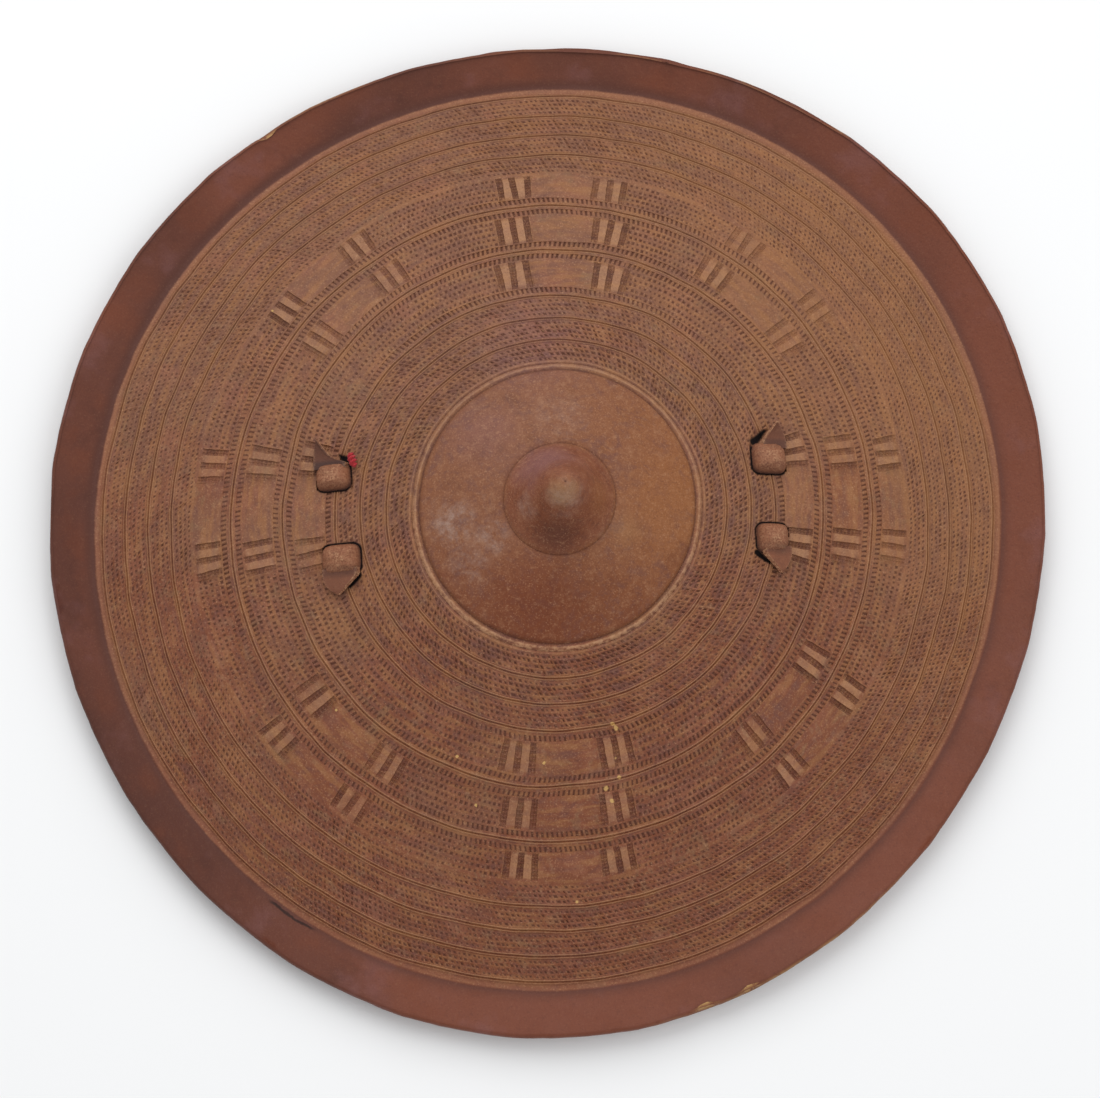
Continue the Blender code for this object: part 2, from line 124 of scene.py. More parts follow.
class ShieldForm(bpy.types.PropertyGroup):
    """Sizes of the hide's smooth form."""

    boss_radius: length("Boss radius", "Radius of the boss at its foot", 0.0198)
    disc_width: length("Disc width", "Width of the plain disc round the boss", 0.0292)
    edge_width: length("Disc edge", "Width of the groove and ridge round the disc", 0.0025)
    inner_pitch: length("Inner belt pitch", "Distance between the scored lines of the inner belts", 0.00895)
    band_pitch: length("Band pitch", "Distance between the scored lines of the panel bands", 0.0183)
    band_trim: length("Last band trim", "How much narrower the outermost band is", 0.0050)
    outer_pitch: length("Outer belt pitch", "Distance between the scored lines of the outer belts", 0.00825)
    valley_margin: length("Valley margin", "Plain strip between the last line and the valley", 0.00325)
    rim_width: length("Rim width", "Width of the upturned rim", 0.0155)
    boss_height: length("Boss height", "Height of the boss above the disc", 0.0280)
    disc_fall: length("Disc fall", "How much the disc drops to its edge", 0.0110)
    disc_step: length("Disc step", "Drop from the disc's edge to the field", 0.0015)
    field_fall: length("Field fall", "How much the field drops to the valley", 0.0405)
    rim_rise: length("Rim rise", "How much the rim turns up", 0.0056)
    thickness: length("Hide thickness", "Thickness of the hide", 0.0045)
    lip_thickness: length("Lip thickness", "Thickness at the cut edge", 0.0036)
    foot_width: length("Foot width", "Flat under the valley that the shield lies on", 0.0060)
    tip_rounding: number("Tip rounding", "Roundness of the boss's tip", 0.22)
    boss_flare: number("Boss flare", "Hollow flare of the boss's foot", 0.45)
    disc_bend: number("Disc bend", "How the disc curves down", 1.4)
    field_bend: number("Field bend", "How the field curves down", 1.15)
    oval: number("Oval", "How oval the hand-shaped round is", 0.0125)
    oval_axis: angle("Oval axis", "Direction of the oval's long axis", 60)
    corner_reach: length("Corner reach", "How far the three soft corners of the edge stand out", 0.0020)
    corner_axis: angle("Corner axis", "Direction of the first soft corner", 33.8)
    bulge_reach: length("Bulge reach", "How far the rim bulges at its upper right", 0.0026)
    bulge_axis: angle("Bulge axis", "Direction of the bulge", 50.6)
    bulge_spread: angle("Bulge spread", "Half width of the bulge", 56.6)
    waver: length("Waver", "How far the tooled lines wander from true circles", 0.00050)


class ShieldTooling(bpy.types.PropertyGroup):
    """Sizes of the punched and scored work."""

    dot_depth: length("Dot depth", "Depth of a punched dot", 0.00070)
    tick_depth: length("Tick depth", "Depth of a slanted tick", 0.00060)
    tick_pitch: length("Tick pitch", "Distance between ticks round a band", 0.00175)
    dot_pitch: length("Dot pitch", "Distance between dots in the dotted fields", 0.00185)
    line_depth: length("Line depth", "Depth of a scored line", 0.00036)
    shoulder: length("Shoulder", "Height of the smooth ridges beside a line", 0.00030)
    panel_width: length("Panel width", "Width of a plain panel", 0.0215)
    bar_width: length("Bar width", "Width of a bar of stacked marks", 0.0024)
    bar_pitch: length("Bar pitch", "Distance between bars", 0.0050)
    bar_depth: length("Bar depth", "How deep a bar is sunk", 0.00048)
    bar_rows: count("Bar rows", "Stacked marks in a bar", 8)
    field_rows: count("Field rows", "Rows of dots in a dotted field", 5)
    groove_depth: length("Groove depth", "Depth of the groove round the disc", 0.0009)


class HandleForm(bpy.types.PropertyGroup):
    """Sizes of the carrying handle and its knots."""

    turn: angle("Turn", "How far the handle is turned from the X axis", 2.8)
    offset: length("Offset", "How far the handle's line passes above the middle", 0.0009)
    reach: length("Reach", "Distance from the middle to the knots", 0.0773)
    spread: length("Spread", "Distance from the handle's line to a knot's middle", 0.0144)
    tab_width: length("Tab width", "Width of a strap end", 0.0124)
    strap: length("Strap thickness", "Thickness of the strap", 0.0030)
    knot_length: length("Knot length", "Length of a rolled knot", 0.0112)
    knot_height: length("Knot height", "Height of a rolled knot", 0.0062)
    lift: length("Lift", "Gap between a knot and the hide", 0.0004)
    strap_gap: length("Strap gap", "Gap between the cross strap and the hide's back", 0.0005)
    clearance: length("Slot clearance", "Room round a strap in its slot", 0.0004)
    grip_width: length("Grip width", "Width of the rolled grip", 0.0180)
    grip_depth: length("Grip depth", "Depth of the rolled grip", 0.0160)
    grip_height: length("Grip height", "Height of the grip's middle above the floor", 0.0165)
    grip_length: length("Grip length", "Length of the round part of the grip", 0.0780)
    grip_end: length("Grip end width", "Width of the grip where it meets a cross strap", 0.0150)
    yarn: length("Yarn thickness", "Thickness of the two-ply yarn", 0.0032)
    yarn_start: length("Yarn start", "Where the yarn starts, across the handle", 0.0216)
    yarn_end: length("Yarn end", "Where the yarn ends, across the handle", 0.0164)
    yarn_start_along: length("Yarn start along", "Where the yarn starts, along the handle", -0.0709)
    yarn_end_along: length("Yarn end along", "Where the yarn ends, along the handle", -0.0699)


class ShieldFinish(bpy.types.PropertyGroup):
    """Colours of the hide, the strap and the yarn."""

    # Used towards the upper side of the field
    field_pale: colour("Pale field", "Worn hide on the upper side", (0.212, 0.090, 0.047))
    field_red: colour("Redder field", "Hide of the lower side", (0.192, 0.058, 0.026))
    olive: colour("Dry field", "Hide where it has dried dull", (0.205, 0.112, 0.056))
    pink: colour("Pink field", "Hide where the dye has worn thin", (0.270, 0.105, 0.060))
    ochre: colour("Ochre field", "Ridges and dry places that have worn to ochre", (0.300, 0.130, 0.050))
    purple: colour("Purple stain", "Old purple-brown dye", (0.125, 0.052, 0.044))
    violet: colour("Violet bloom", "Greyish violet bloom on the waxed hide", (0.205, 0.092, 0.094))
    # The stain colour fills the marks, and is painted shade in the valley, round the boss's foot and in its
    # pin hole
    stain: colour("Stain", "Bottom of the marks", (0.064, 0.019, 0.009))
    # The gap colour is painted shadow in the gaps and hollows round the knots, and the dark of the crack
    gap: colour("Gap", "Dark gap round a knot", (0.005, 0.002, 0.002))
    rim: colour("Rim", "Plain rim", (0.168, 0.049, 0.026))
    # Also the colour of painted shade: the rim's upper side, the rim's shadow in the valley and the boss's
    # lower side
    rim_dark: colour("Dark rim", "Darkest hide of the rim", (0.080, 0.025, 0.016))
    disc: colour("Disc", "Plain disc", (0.210, 0.078, 0.036))
    disc_ochre: colour("Ochre disc", "Ochre patches of the disc", (0.258, 0.094, 0.030))
    disc_red: colour("Red disc", "Red-brown patches of the disc", (0.152, 0.037, 0.013))
    boss: colour("Boss", "Dark hide of the boss", (0.210, 0.066, 0.031))
    worn: colour("Worn tip", "Yellowish worn hide of the boss's tip", (0.420, 0.240, 0.110))
    scuff: colour("Scuff", "Grey scuffs", (0.380, 0.290, 0.250))
    fleck_pale: colour("Pale fleck", "Pale flecks of the grain", (0.480, 0.260, 0.140))
    raw: colour("Raw hide", "Pale hide inside a chip or cut", (0.600, 0.370, 0.130))
    strap: colour("Strap", "Strap leather", (0.218, 0.074, 0.034))
    # Dark strap leather of its mottling, and the colour of painted shade in the folds
    strap_dark: colour("Dark strap", "Dark strap leather in the folds", (0.060, 0.024, 0.017))
    yarn: colour("Yarn", "Red yarn", (0.400, 0.014, 0.022))


class StageForm(bpy.types.PropertyGroup):
    """Floor, light and camera."""

    tilt: angle("Tilt", "How far the camera leans from straight above", 12.3)
    swing: angle("Swing", "Direction from which the camera leans", -17.9)
    distance: length("Distance", "Distance from the camera to what it looks at", 1.5)
    aim_x: length("Aim X", "Place that the camera looks at", -0.00208)
    aim_y: length("Aim Y", "Place that the camera looks at", -0.01079)
    aim_z: length("Aim Z", "Place that the camera looks at", 0.030)
    lens_share: number("Lens share", "Focal length as a share of the picture's width", 3.854)
    floor: colour("Floor", "Pale floor", (0.86, 0.86, 0.86))
    sky: number("Sky", "Strength of the soft light from all round", 0.68)
    key: number("Key", "Power of the soft lamp at the upper left", 17.2)


def plain(group):
    """Values of a property group as a plain object, which is quicker to read."""
    return SimpleNamespace(**{key: getattr(group, key) for key in group.__annotations__})


def settings():
    """Plain values of all groups of the current scene."""
    scene = bpy.context.scene
    return plain(scene.shield_form), plain(scene.shield_tooling), plain(scene.shield_handle)


def facing(turn, aim, spread):
    """1 towards a direction, falling to 0 away from it."""
    away = (turn - aim + math.pi) % TURN - math.pi
    return math.exp(-(away / spread) ** 2)


class Form:
    """The hide's smooth form: heights, hand shaping and places."""

    def __init__(self, sizes):
        self.s = sizes
        self.disc_edge = sizes.boss_radius + sizes.disc_width
        self.field_start = self.disc_edge + sizes.edge_width
        self.bands = self.field_start + 3 * sizes.inner_pitch
        self.outer_belts = self.bands + 3 * sizes.band_pitch - sizes.band_trim
        self.valley = self.outer_belts + 4 * sizes.outer_pitch + sizes.valley_margin
        self.edge = self.valley + sizes.rim_width
        self.valley_height = sizes.thickness * 1.1
        self.field_height = self.valley_height + sizes.field_fall
        self.disc_edge_height = self.field_height + sizes.disc_step
        self.disc_height = self.disc_edge_height + sizes.disc_fall
        self.origin = self.outline_middle()

    def boss_share(self, share):
        """Boss above its foot: 1 at the rounded tip, 0 at the flared foot."""
        rounding = self.s.tip_rounding
        run = math.hypot(share, rounding) - rounding
        cone = 1 - run / (math.hypot(1, rounding) - rounding)
        bell = (1 + math.cos(math.pi * share)) / 2
        return (1 - self.s.boss_flare) * cone + self.s.boss_flare * bell

    def height(self, radius):
        """Smooth front of the hide."""
        s = self.s
        if radius <= s.boss_radius:
            return self.disc_height + s.boss_height * self.boss_share(radius / s.boss_radius)
        if radius <= self.disc_edge:
            share = (radius - s.boss_radius) / s.disc_width
            return self.disc_edge_height + s.disc_fall * (1 - share ** s.disc_bend)
        if radius <= self.field_start:
            share = (radius - self.disc_edge) / s.edge_width
            return self.disc_edge_height - s.disc_step * share
        if radius <= self.valley:
            share = (radius - self.field_start) / (self.valley - self.field_start)
            return self.field_height - s.field_fall * share ** s.field_bend
        return self.valley_height + s.rim_rise * (radius - self.valley) / s.rim_width

    def stretch(self, turn, radius):
        """How far the hand-shaped round departs from a true circle, as a factor."""
        oval = self.s.oval * math.cos(2 * (turn - self.s.oval_axis))
        corner = self.s.corner_reach / self.edge * math.cos(3 * (turn - self.s.corner_axis))
        swell = facing(turn, self.s.bulge_axis, self.s.bulge_spread) * min(1, radius / self.valley) ** 16
        return 1 + oval + corner * (radius / self.edge) ** 8 + self.s.bulge_reach / self.edge * swell

    def place(self, radius, turn, height):
        """Point of the shaped round in the row frame."""
        reach = radius * self.stretch(turn, radius)
        return Vector((reach * math.cos(turn), reach * math.sin(turn), height)) - self.origin

    def outline_middle(self):
        """Middle of the cut edge's box, which stands over the origin."""
        self.origin = Vector()
        points = [self.place(self.edge * chord_cut(t, 27, 0.6), t, 0) for t in turns(54)]
        xs = [point.x for point in points]
        ys = [point.y for point in points]
        return Vector(((min(xs) + max(xs)) / 2, (min(ys) + max(ys)) / 2, 0))


def turns(columns, start=0.0):
    """Evenly spaced directions."""
    return [start + TURN * i / columns for i in range(columns)]


def chord_cut(turn, chords=27, share=0.3):
    """Factor that flattens the cut edge into soft chords between its corners."""
    half = math.pi / chords
    inside = turn % (2 * half) - half
    return 1 + share * (math.cos(half) / math.cos(inside) - 1)


def wander(x, y, scale, seed=0.0):
    """Smooth noise from -1 to 1 over the plan."""
    return noise.noise(Vector((x / scale, y / scale, seed)))


def smooth_step(low, high, value):
    """0 below low, 1 above high, eased between."""
    share = min(1.0, max(0.0, (value - low) / (high - low)))
    return share * share * (3 - 2 * share)


# A bar mark's frame keeps this share of its cell clear, and lies at this share of the mark's depth
CELL_MARGIN = 0.03
FRAME_DEPTH = 0.45
# Shares of a cell where a tick starts and stops
TICK_ENDS = (0.16, 0.84)


class Skin:
    """Points, faces and the values carried by the points of one mesh.

    Stain is dye in a hollow and painted shade in creases, holes, folds and under the strap's tips, and below
    0 the wear of a ridge. Raw is bare hide in a chip or cut, and on the knots' crowns partly a painted
    highlight.
    Punch is the bottom of a punched dot or tick, and -1 on the back.
    """

    def __init__(self):
        self.points = []
        self.faces = []
        self.stain = []
        self.raw = []
        self.punch = []

    def point(self, place, stain=0.0, raw=0.0, punch=0.0):
        """Add a point with its values and return its index."""
        self.points.append(place)
        self.stain.append(stain)
        self.raw.append(raw)
        self.punch.append(punch)
        return len(self.points) - 1

    def face(self, *corners):
        """Add a face, its corners counterclockwise as seen from outside."""
        self.faces.append(corners)

    def turn_face(self, turned, *corners):
        """A face, the other way round when turned is false."""
        self.faces.append(corners if turned else tuple(reversed(corners)))

    def within(self, corners, u, v, sunk):
        """Place inside a cell, sunk below it."""
        a, b, c, d = (self.points[i] for i in corners)
        place = (1 - u) * (1 - v) * a + (1 - u) * v * b + u * v * c + u * (1 - v) * d
        place.z -= sunk
        return place

    def pit(self, corners, depth, middle, punch):
        """A pointed hollow that fills a cell."""
        bottom = self.point(self.within(corners, *middle, depth), 0.0, 0.0, punch)
        for i in range(4):
            self.face(corners[i], corners[(i + 1) % 4], bottom)

    def trough(self, corners, depth, lean, punch):
        """A cut across a cell, deepest along a leaning line."""
        a, b, c, d = corners
        start, stop = TICK_ENDS
        near = self.point(self.within(corners, 0.5 - lean, start, depth), 0.0, 0.0, punch)
        far = self.point(self.within(corners, 0.5 + lean, stop, depth), 0.0, 0.0, punch)
        self.face(a, b, far, near)
        self.face(b, c, far)
        self.face(c, d, near, far)
        self.face(d, a, near)

    def framed_pit(self, corners, depth, shares, turned, stain, faint):
        """A punched mark: a pointed hollow inside a shallow turned frame, in a cell."""
        def held(share):
            return min(1 - CELL_MARGIN, max(CELL_MARGIN, share))

        frame = []
        for side_u, side_v in ((-1, -1), (-1, 1), (1, 1), (1, -1)):
            reach_u = side_u * shares[0] / 2
            reach_v = side_v * shares[1] / 2
            u = 0.5 + reach_u * math.cos(turned) - reach_v * math.sin(turned)
            v = 0.5 + reach_u * math.sin(turned) + reach_v * math.cos(turned)
            frame.append(self.point(self.within(corners, held(u), held(v), depth * FRAME_DEPTH), faint))
        bottom = self.point(self.within(corners, 0.5, 0.5, depth), stain)
        for i in range(4):
            j = (i + 1) % 4
            self.face(corners[i], corners[j], frame[j], frame[i])
            self.face(frame[i], frame[j], bottom)

    def strip(self, inner, outer):
        """Faces between two rings of (direction, point), which may have different columns."""
        same = len(inner) == len(outer)
        if same and abs(inner[0][0] - outer[0][0]) < 1.5 * TURN / len(inner):
            for i, (_, low) in enumerate(inner):
                j = (i + 1) % len(inner)
                self.face(low, outer[i][1], outer[j][1], inner[j][1])
            return
        i = j = 0
        while i < len(inner) or j < len(outer):
            low = inner[i % len(inner)][1]
            high = outer[j % len(outer)][1]
            next_low = inner[(i + 1) % len(inner)][0] + TURN * ((i + 1) // len(inner))
            next_high = outer[(j + 1) % len(outer)][0] + TURN * ((j + 1) // len(outer))
            if j >= len(outer) or (i < len(inner) and next_low <= next_high):
                self.face(low, high, inner[(i + 1) % len(inner)][1])
                i += 1
            else:
                self.face(low, high, outer[(j + 1) % len(outer)][1])
                j += 1

    def seam(self, left, right):
        """Faces between two upright columns of points with different rows, bottoms and tops level."""
        i = j = 0
        while i < len(left) - 1 or j < len(right) - 1:
            next_left = (i + 1) / (len(left) - 1)
            next_right = (j + 1) / (len(right) - 1)
            if j >= len(right) - 1 or (i < len(left) - 1 and next_left <= next_right):
                self.face(left[i], left[i + 1], right[j])
                i += 1
            else:
                self.face(left[i], right[j + 1], right[j])
                j += 1

    def mesh(self, name):
        """The finished mesh with its point values as attributes."""
        mesh = bpy.data.meshes.new(name)
        mesh.from_pydata([tuple(point) for point in self.points], [], self.faces)
        for key, values in (("stain", self.stain), ("raw", self.raw), ("punch", self.punch)):
            layer = mesh.attributes.new(key, "FLOAT", "POINT")
            layer.data.foreach_set("value", values)
        mesh.validate()
        mesh.update()
        return mesh


# Heights of the hide's slow dents and of the rim's sway
BROAD_DENT = 0.00035
SMALL_DENT = 0.00012
RIM_SWAY = 0.0009
# Radii between which the knots' hollows lie, with their depth and half width
KNOT_REACH = (0.055, 0.105)
HOLLOW_DEPTH = 0.0014
HOLLOW_SPREAD = 0.0022
# What is left of the weakest mark, and how often a mark is weakly struck
LEAST_WEAR = 0.42
WEAK_SHARE = 0.05
# Strip between a band's line and its panels, which holds the row of ticks, and the ticks' two ends in it
TICK_STRIP = 0.0037
TICKS_AFTER_LINE = (0.0014, 0.0035)
TICKS_AFTER_BAND = (0.0002, 0.0023)
# Plain land between the parts of a band
LAND = 0.0006
# Columns of points round the boss and disc, the rim, the back and the back of the boss
DISC_COLUMNS = 120
RIM_COLUMNS = 440
BACK_COLUMNS = 150
BOSS_BACK_COLUMNS = 60
# Dots in a row of each inner belt and each outer belt
INNER_BELT_DOTS = (186, 216, 246)
OUTER_BELT_DOTS = (456, 484, 512, 540)
# Rows of a belt as (share of its pitch, size of the dots)
BELT_ROWS = ((0.305, 0.75), (0.500, 1.0), (0.695, 1.0), (0.890, 0.9))
# Shares of the boss's and the disc's radius at which a ring of points lies
BOSS_RINGS = (0.03, 0.08, 0.14, 0.2, 0.27, 0.35, 0.44, 0.53, 0.62, 0.71, 0.8, 0.88, 0.94, 0.98)
DISC_RINGS = (0.03, 0.08, 0.16, 0.26, 0.37, 0.48, 0.59, 0.7, 0.8, 0.88, 0.94, 0.975)
# Groove and ridge round the disc as (distance outwards, share of the groove's depth, stain)
DISC_STEPS = ((-0.0006, 0.3, 0.08), (0.0, 1.0, 0.46), (0.0005, 0.55, 0.22), (0.0012, -0.25, -0.30),
              (0.0019, -0.2, -0.10), (0.0025, 0.3, 0.45), (0.0029, 0.0, 0.1), (0.0034, -0.1, -0.30))
# Valley as (distance outwards, depth, stain), where the stain is painted shade in the valley's crease, and
# the plain rim's rings as shares of its width
VALLEY_STEPS = ((-0.0016, 0.0, 0.0), (-0.0007, -0.00015, 0.0), (0.0, -0.0003, 0.45), (0.0009, -0.0002, 0.35),
                (0.0024, 0.0, 0.1))
RIM_RINGS = (0.35, 0.6, 0.8, 0.93)
# Places where the cut edge has lost its dye, as (degrees, spread, strength)
BARE_EDGES = ((74, 18, 1.0), (300, 14, 0.45), (118, 8, 0.35))
# Chips of the cut edge, in plan from the boss; their half width in radians, and their bite inwards and down
CHIPS = ((-0.1035, 0.1446), (0.0541, -0.1696), (0.0695, -0.1624))
CHIP_SPREAD = math.sqrt(0.0002)
CHIP_BITE = 0.0012
CHIP_DROP = 0.0005


class HideMaker:
    """Builds the tooled hide ring by ring from the boss to the cut edge and round to the back."""

    def __init__(self, form_sizes, tooling):
        self.form = Form(form_sizes)
        self.s = form_sizes
        self.t = tooling
        self.skin = Skin()
        self.last = None
        knots = made_knots()
        self.hollows = [knots.hollow(knot) for knot in KNOTS]

    def wavered(self, radius, turn):
        """Radius moved a little, as a hand-held tool moves."""
        x = radius * math.cos(turn)
        y = radius * math.sin(turn)
        fade = smooth_step(0.040, 0.060, radius)
        slow = wander(x, y, 0.022, 3.0)
        quick = wander(x, y, 0.009, 7.0)
        return radius + fade * self.s.waver * (1.3 * slow + 0.5 * quick)

    def surface(self, radius, turn, depth):
        """Point of the front with hand waver and slow dents."""
        x = radius * math.cos(turn)
        y = radius * math.sin(turn)
        dent = BROAD_DENT * wander(x, y, 0.035, 11.0) + SMALL_DENT * wander(x, y, 0.012, 13.0)
        rim = smooth_step(self.form.valley - 0.004, self.form.edge, radius)
        sway = RIM_SWAY * rim * wander(x, y, 0.060, 17.0)
        height = self.form.height(radius) - depth + dent + sway
        place = self.form.place(self.wavered(radius, turn), turn, height)
        if KNOT_REACH[0] < radius < KNOT_REACH[1]:
            for hollow in self.hollows:
                away = (place.xy + self.form.origin.xy - hollow).length
                place.z -= HOLLOW_DEPTH * math.exp(-(away / HOLLOW_SPREAD) ** 2)
        return self.inside(place)

    def inside(self, place):
        """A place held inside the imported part's box in plan."""
        place.x = min(max(place.x, CAD_LOW.x), CAD_HIGH.x)
        place.y = min(max(place.y, CAD_LOW.y), CAD_HIGH.y)
        return place

    def wear(self, x, y):
        """How much of a mark is left at a place, up to 1."""
        inner = smooth_step(0.085, 0.055, math.hypot(x, y))
        low_side = smooth_step(0.02, -0.16, y)
        middle_top = smooth_step(0.07, 0.01, abs(x - 0.01)) * smooth_step(0.05, 0.10, y)
        left = smooth_step(0.06, -0.12, x) * (1 - inner) * (1 - middle_top)
        upper_right = smooth_step(0.06, 0.20, x + y) * (1 - inner)
        kept = 0.78 + 0.20 * inner + 0.02 * low_side + 0.22 * middle_top - 0.12 * left - 0.22 * upper_right
        rubbed = kept + 0.30 * wander(x, y, 0.030, 23.0) + 0.26 * wander(x, y, 0.007, 29.0)
        return min(1.0, max(LEAST_WEAR, rubbed))

    def ring(self, radius, directions, depth=0.0, stain=0.0):
        """One ring of points of the front."""
        ring = []
        for turn in directions:
            ring.append((turn, self.skin.point(self.surface(radius, turn, depth), stain)))
        return ring

    def join(self, ring):
        """Join a ring to the one before it with plain faces."""
        if self.last is not None:
            self.skin.strip(self.last, ring)
        self.last = ring

    def dots(self, ring, depth):
        """Join a ring to the one before it with a punched dot in each cell."""
        for corners in self.cells(ring):
            self.dot(corners, depth)

    def cells(self, ring):
        """Corners of the cells between the last ring and this one, which becomes the last."""
        inner = self.last
        self.last = ring
        for i, (_, low) in enumerate(inner):
            j = (i + 1) % len(inner)
            yield low, ring[i][1], ring[j][1], inner[j][1]

    def worn(self, corners):
        """What is left of a mark in a cell; a few are only weakly struck."""
        place = self.skin.points[corners[0]]
        return self.wear(place.x, place.y) * (0.45 if noise.random() < WEAK_SHARE else 1)

    def dot(self, corners, depth, stagger=0.0):
        """One hand-punched dot."""
        wear = self.worn(corners)
        middle = (0.5 + stagger + 0.30 * (noise.random() - 0.5), 0.5 + 0.26 * (noise.random() - 0.5))
        punch = (0.50 + 0.46 * wear) * (0.68 + 0.46 * noise.random())
        self.skin.pit(corners, depth * (0.35 + 0.65 * wear), middle, punch)

    def tick(self, corners, depth):
        """One slanted tick."""
        wear = self.worn(corners)
        lean = 0.10 * (noise.random() - 0.5)
        punch = (0.50 + 0.40 * wear) * (0.85 + 0.2 * noise.random())
        self.skin.trough(corners, depth * (0.35 + 0.65 * wear), lean, punch)

    def bar_mark(self, corners, depth):
        """One of the stacked marks of a bar."""
        wear = self.worn(corners)
        size = 0.86 + 0.28 * noise.random()
        turned = math.radians(30) * (noise.random() - 0.5)
        shares = (0.86 * size, 0.60 * size)
        self.skin.framed_pit(corners, depth * (0.3 + 0.7 * wear), shares, turned, 0.58 * wear, 0.34 * wear)

    def jittered(self, columns, amount=0.12):
        """Directions of a hand-spaced row."""
        phase = noise.random()
        step = TURN / columns
        return [(i + phase * 0.5 + amount * (noise.random() * 2 - 1)) * step for i in range(columns)]

    def boss_and_disc(self):
        """Smooth rings from the tip to the ridge round the disc."""
        s = self.s
        columns = DISC_COLUMNS
        # The tip's pin hole is stained dark: painted shade in the hole
        tip = self.skin.point(self.surface(0.0, 0.0, 0.0005), 0.9)
        first = None
        for share in BOSS_RINGS:
            ring = self.ring(s.boss_radius * share, turns(columns))
            if first is None:
                first = ring
                for i in range(columns):
                    self.skin.face(tip, ring[i][1], ring[(i + 1) % columns][1])
            self.join(ring)
        # The ring at the boss's foot is stained: painted shadow round the foot of the boss
        self.join(self.ring(s.boss_radius, turns(columns), 0.00032, 0.38))
        for share in DISC_RINGS:
            self.join(self.ring(s.boss_radius + s.disc_width * share, turns(columns)))
        edge = self.form.disc_edge
        groove = self.t.groove_depth
        for offset, depth, stain in DISC_STEPS:
            self.join(self.ring(edge + offset, turns(columns), groove * depth, stain))

    def belt(self, start, pitch, columns):
        """A fine row and three bold rows of staggered dots, then the scored line that closes them."""
        t = self.t
        directions = self.jittered(columns)
        step = TURN / columns
        self.join(self.ring(start + 0.115 * pitch, directions, 0.0, 0.10))
        for share, grown in BELT_ROWS:
            directions = [turn + step * (0.5 + 0.26 * (noise.random() - 0.5)) for turn in directions]
            self.dots(self.ring(start + share * pitch, directions, -0.00004, 0.0), t.dot_depth * grown)
        self.last = [(turn - TURN, index) for turn, index in self.last[-2:]] + self.last[:-2]
        self.line(start + pitch, [turn for turn, _ in self.last])

    def line(self, radius, directions):
        """Scored line between two smooth shoulders."""
        t = self.t
        steps = ((-0.0009, 0.00008, 0.24), (-0.00045, -t.shoulder, -0.46), (0.0, t.line_depth, 0.22),
                 (0.00045, -t.shoulder, -0.46), (0.0009, 0.00008, 0.24))
        for offset, depth, stain in steps:
            self.join(self.ring(radius + offset, directions, depth, stain))

    def ticks(self, inner, outer, columns, lean):
        """One row of slanted ticks."""
        directions = self.jittered(columns, 0.08)
        step = TURN / columns
        self.join(self.ring(inner, directions))
        slanted = [turn + lean * step for turn in directions]
        for corners in self.cells(self.ring(outer, slanted)):
            self.tick(corners, self.t.tick_depth)

    def patch(self, directions, radii, depths, kind):
        """Grid of points between two directions, with one kind of cell; returns its columns."""
        columns = []
        for i, turn in enumerate(directions):
            column = []
            for k, radius in enumerate(radii):
                depth, stain = depths(i, k)
                column.append(self.skin.point(self.surface(radius, turn, depth), stain))
            columns.append(column)
        for i in range(len(columns) - 1):
            for k in range(len(radii) - 1):
                corners = (columns[i][k], columns[i][k + 1], columns[i + 1][k + 1], columns[i + 1][k])
                self.cell(corners, kind, k)
        return columns

    def cell(self, corners, kind, row=0):
        """A cell of a patch: plain, a dot of a field, or a mark of a bar."""
        if kind == "plain":
            self.skin.face(*corners)
        elif kind == "dot":
            self.dot(corners, self.t.dot_depth, 0.20 if row % 2 else -0.20)
        else:
            self.bar_mark(corners, self.t.dot_depth * 0.8)

    def panel(self, centre, radius, inner, outer):
        """A plain panel, very slightly proud."""
        half = self.t.panel_width / 2 / radius
        directions = [centre + half * (2 * k / 8 - 1) for k in range(9)]
        radii = [inner + (outer - inner) * v for v in (0, 0.08, 0.5, 0.92, 1)]

        def depths(i, k):
            inside = 0 < i < 8 and 0 < k < 4
            return (-0.00012 if inside else 0.0), 0.0

        return self.patch(directions, radii, depths, "plain")

    def bar(self, centre, radius, inner, outer, tilt):
        """A bar: two columns of stacked marks on a sunk strip."""
        t = self.t
        half = t.bar_width / 2 / radius
        rows = t.bar_rows
        spans = (-1.0, -0.88, 0.0, 0.88, 1.0)
        radii = [inner + (outer - inner) * k / rows for k in range(rows + 1)]
        here = self.surface(radius, centre, 0)
        wear = self.wear(here.x, here.y)

        def depths(i, k):
            if not 0 < k < rows:
                return 0.0, 0.0
            if i in (0, 4):
                return -0.00020, -0.30 * wear
            return t.bar_depth * (0.4 + 0.6 * wear), 0.08 + 0.28 * wear

        columns = []
        for i, span in enumerate(spans):
            column = []
            for k, place in enumerate(radii):
                lean = (tilt * (k / rows - 0.5) + 0.18 * (noise.random() - 0.5)) * half
                depth, stain = depths(i, k)
                column.append(self.skin.point(self.surface(place, centre + span * half + lean, depth), stain))
            columns.append(column)
        for i in range(4):
            for k in range(rows):
                corners = (columns[i][k], columns[i][k + 1], columns[i + 1][k + 1], columns[i + 1][k])
                self.cell(corners, "mark" if i in (1, 2) else "plain")
        return columns

    def dotted(self, start, stop, radius, inner, outer):
        """A dotted field between two groups of bars."""
        t = self.t
        steps = max(2, round((stop - start) * radius / t.dot_pitch))
        directions = [start + (stop - start) * (i / steps) for i in range(steps + 1)]
        rows = t.field_rows
        radii = [inner + (outer - inner) * k / rows for k in range(rows + 1)]

        def depths(i, k):
            inside = 0 < i < steps and 0 < k < rows
            return (0.00018 if inside else 0.0), (0.08 if inside else 0.0)

        return self.patch(directions, radii, depths, "dot")

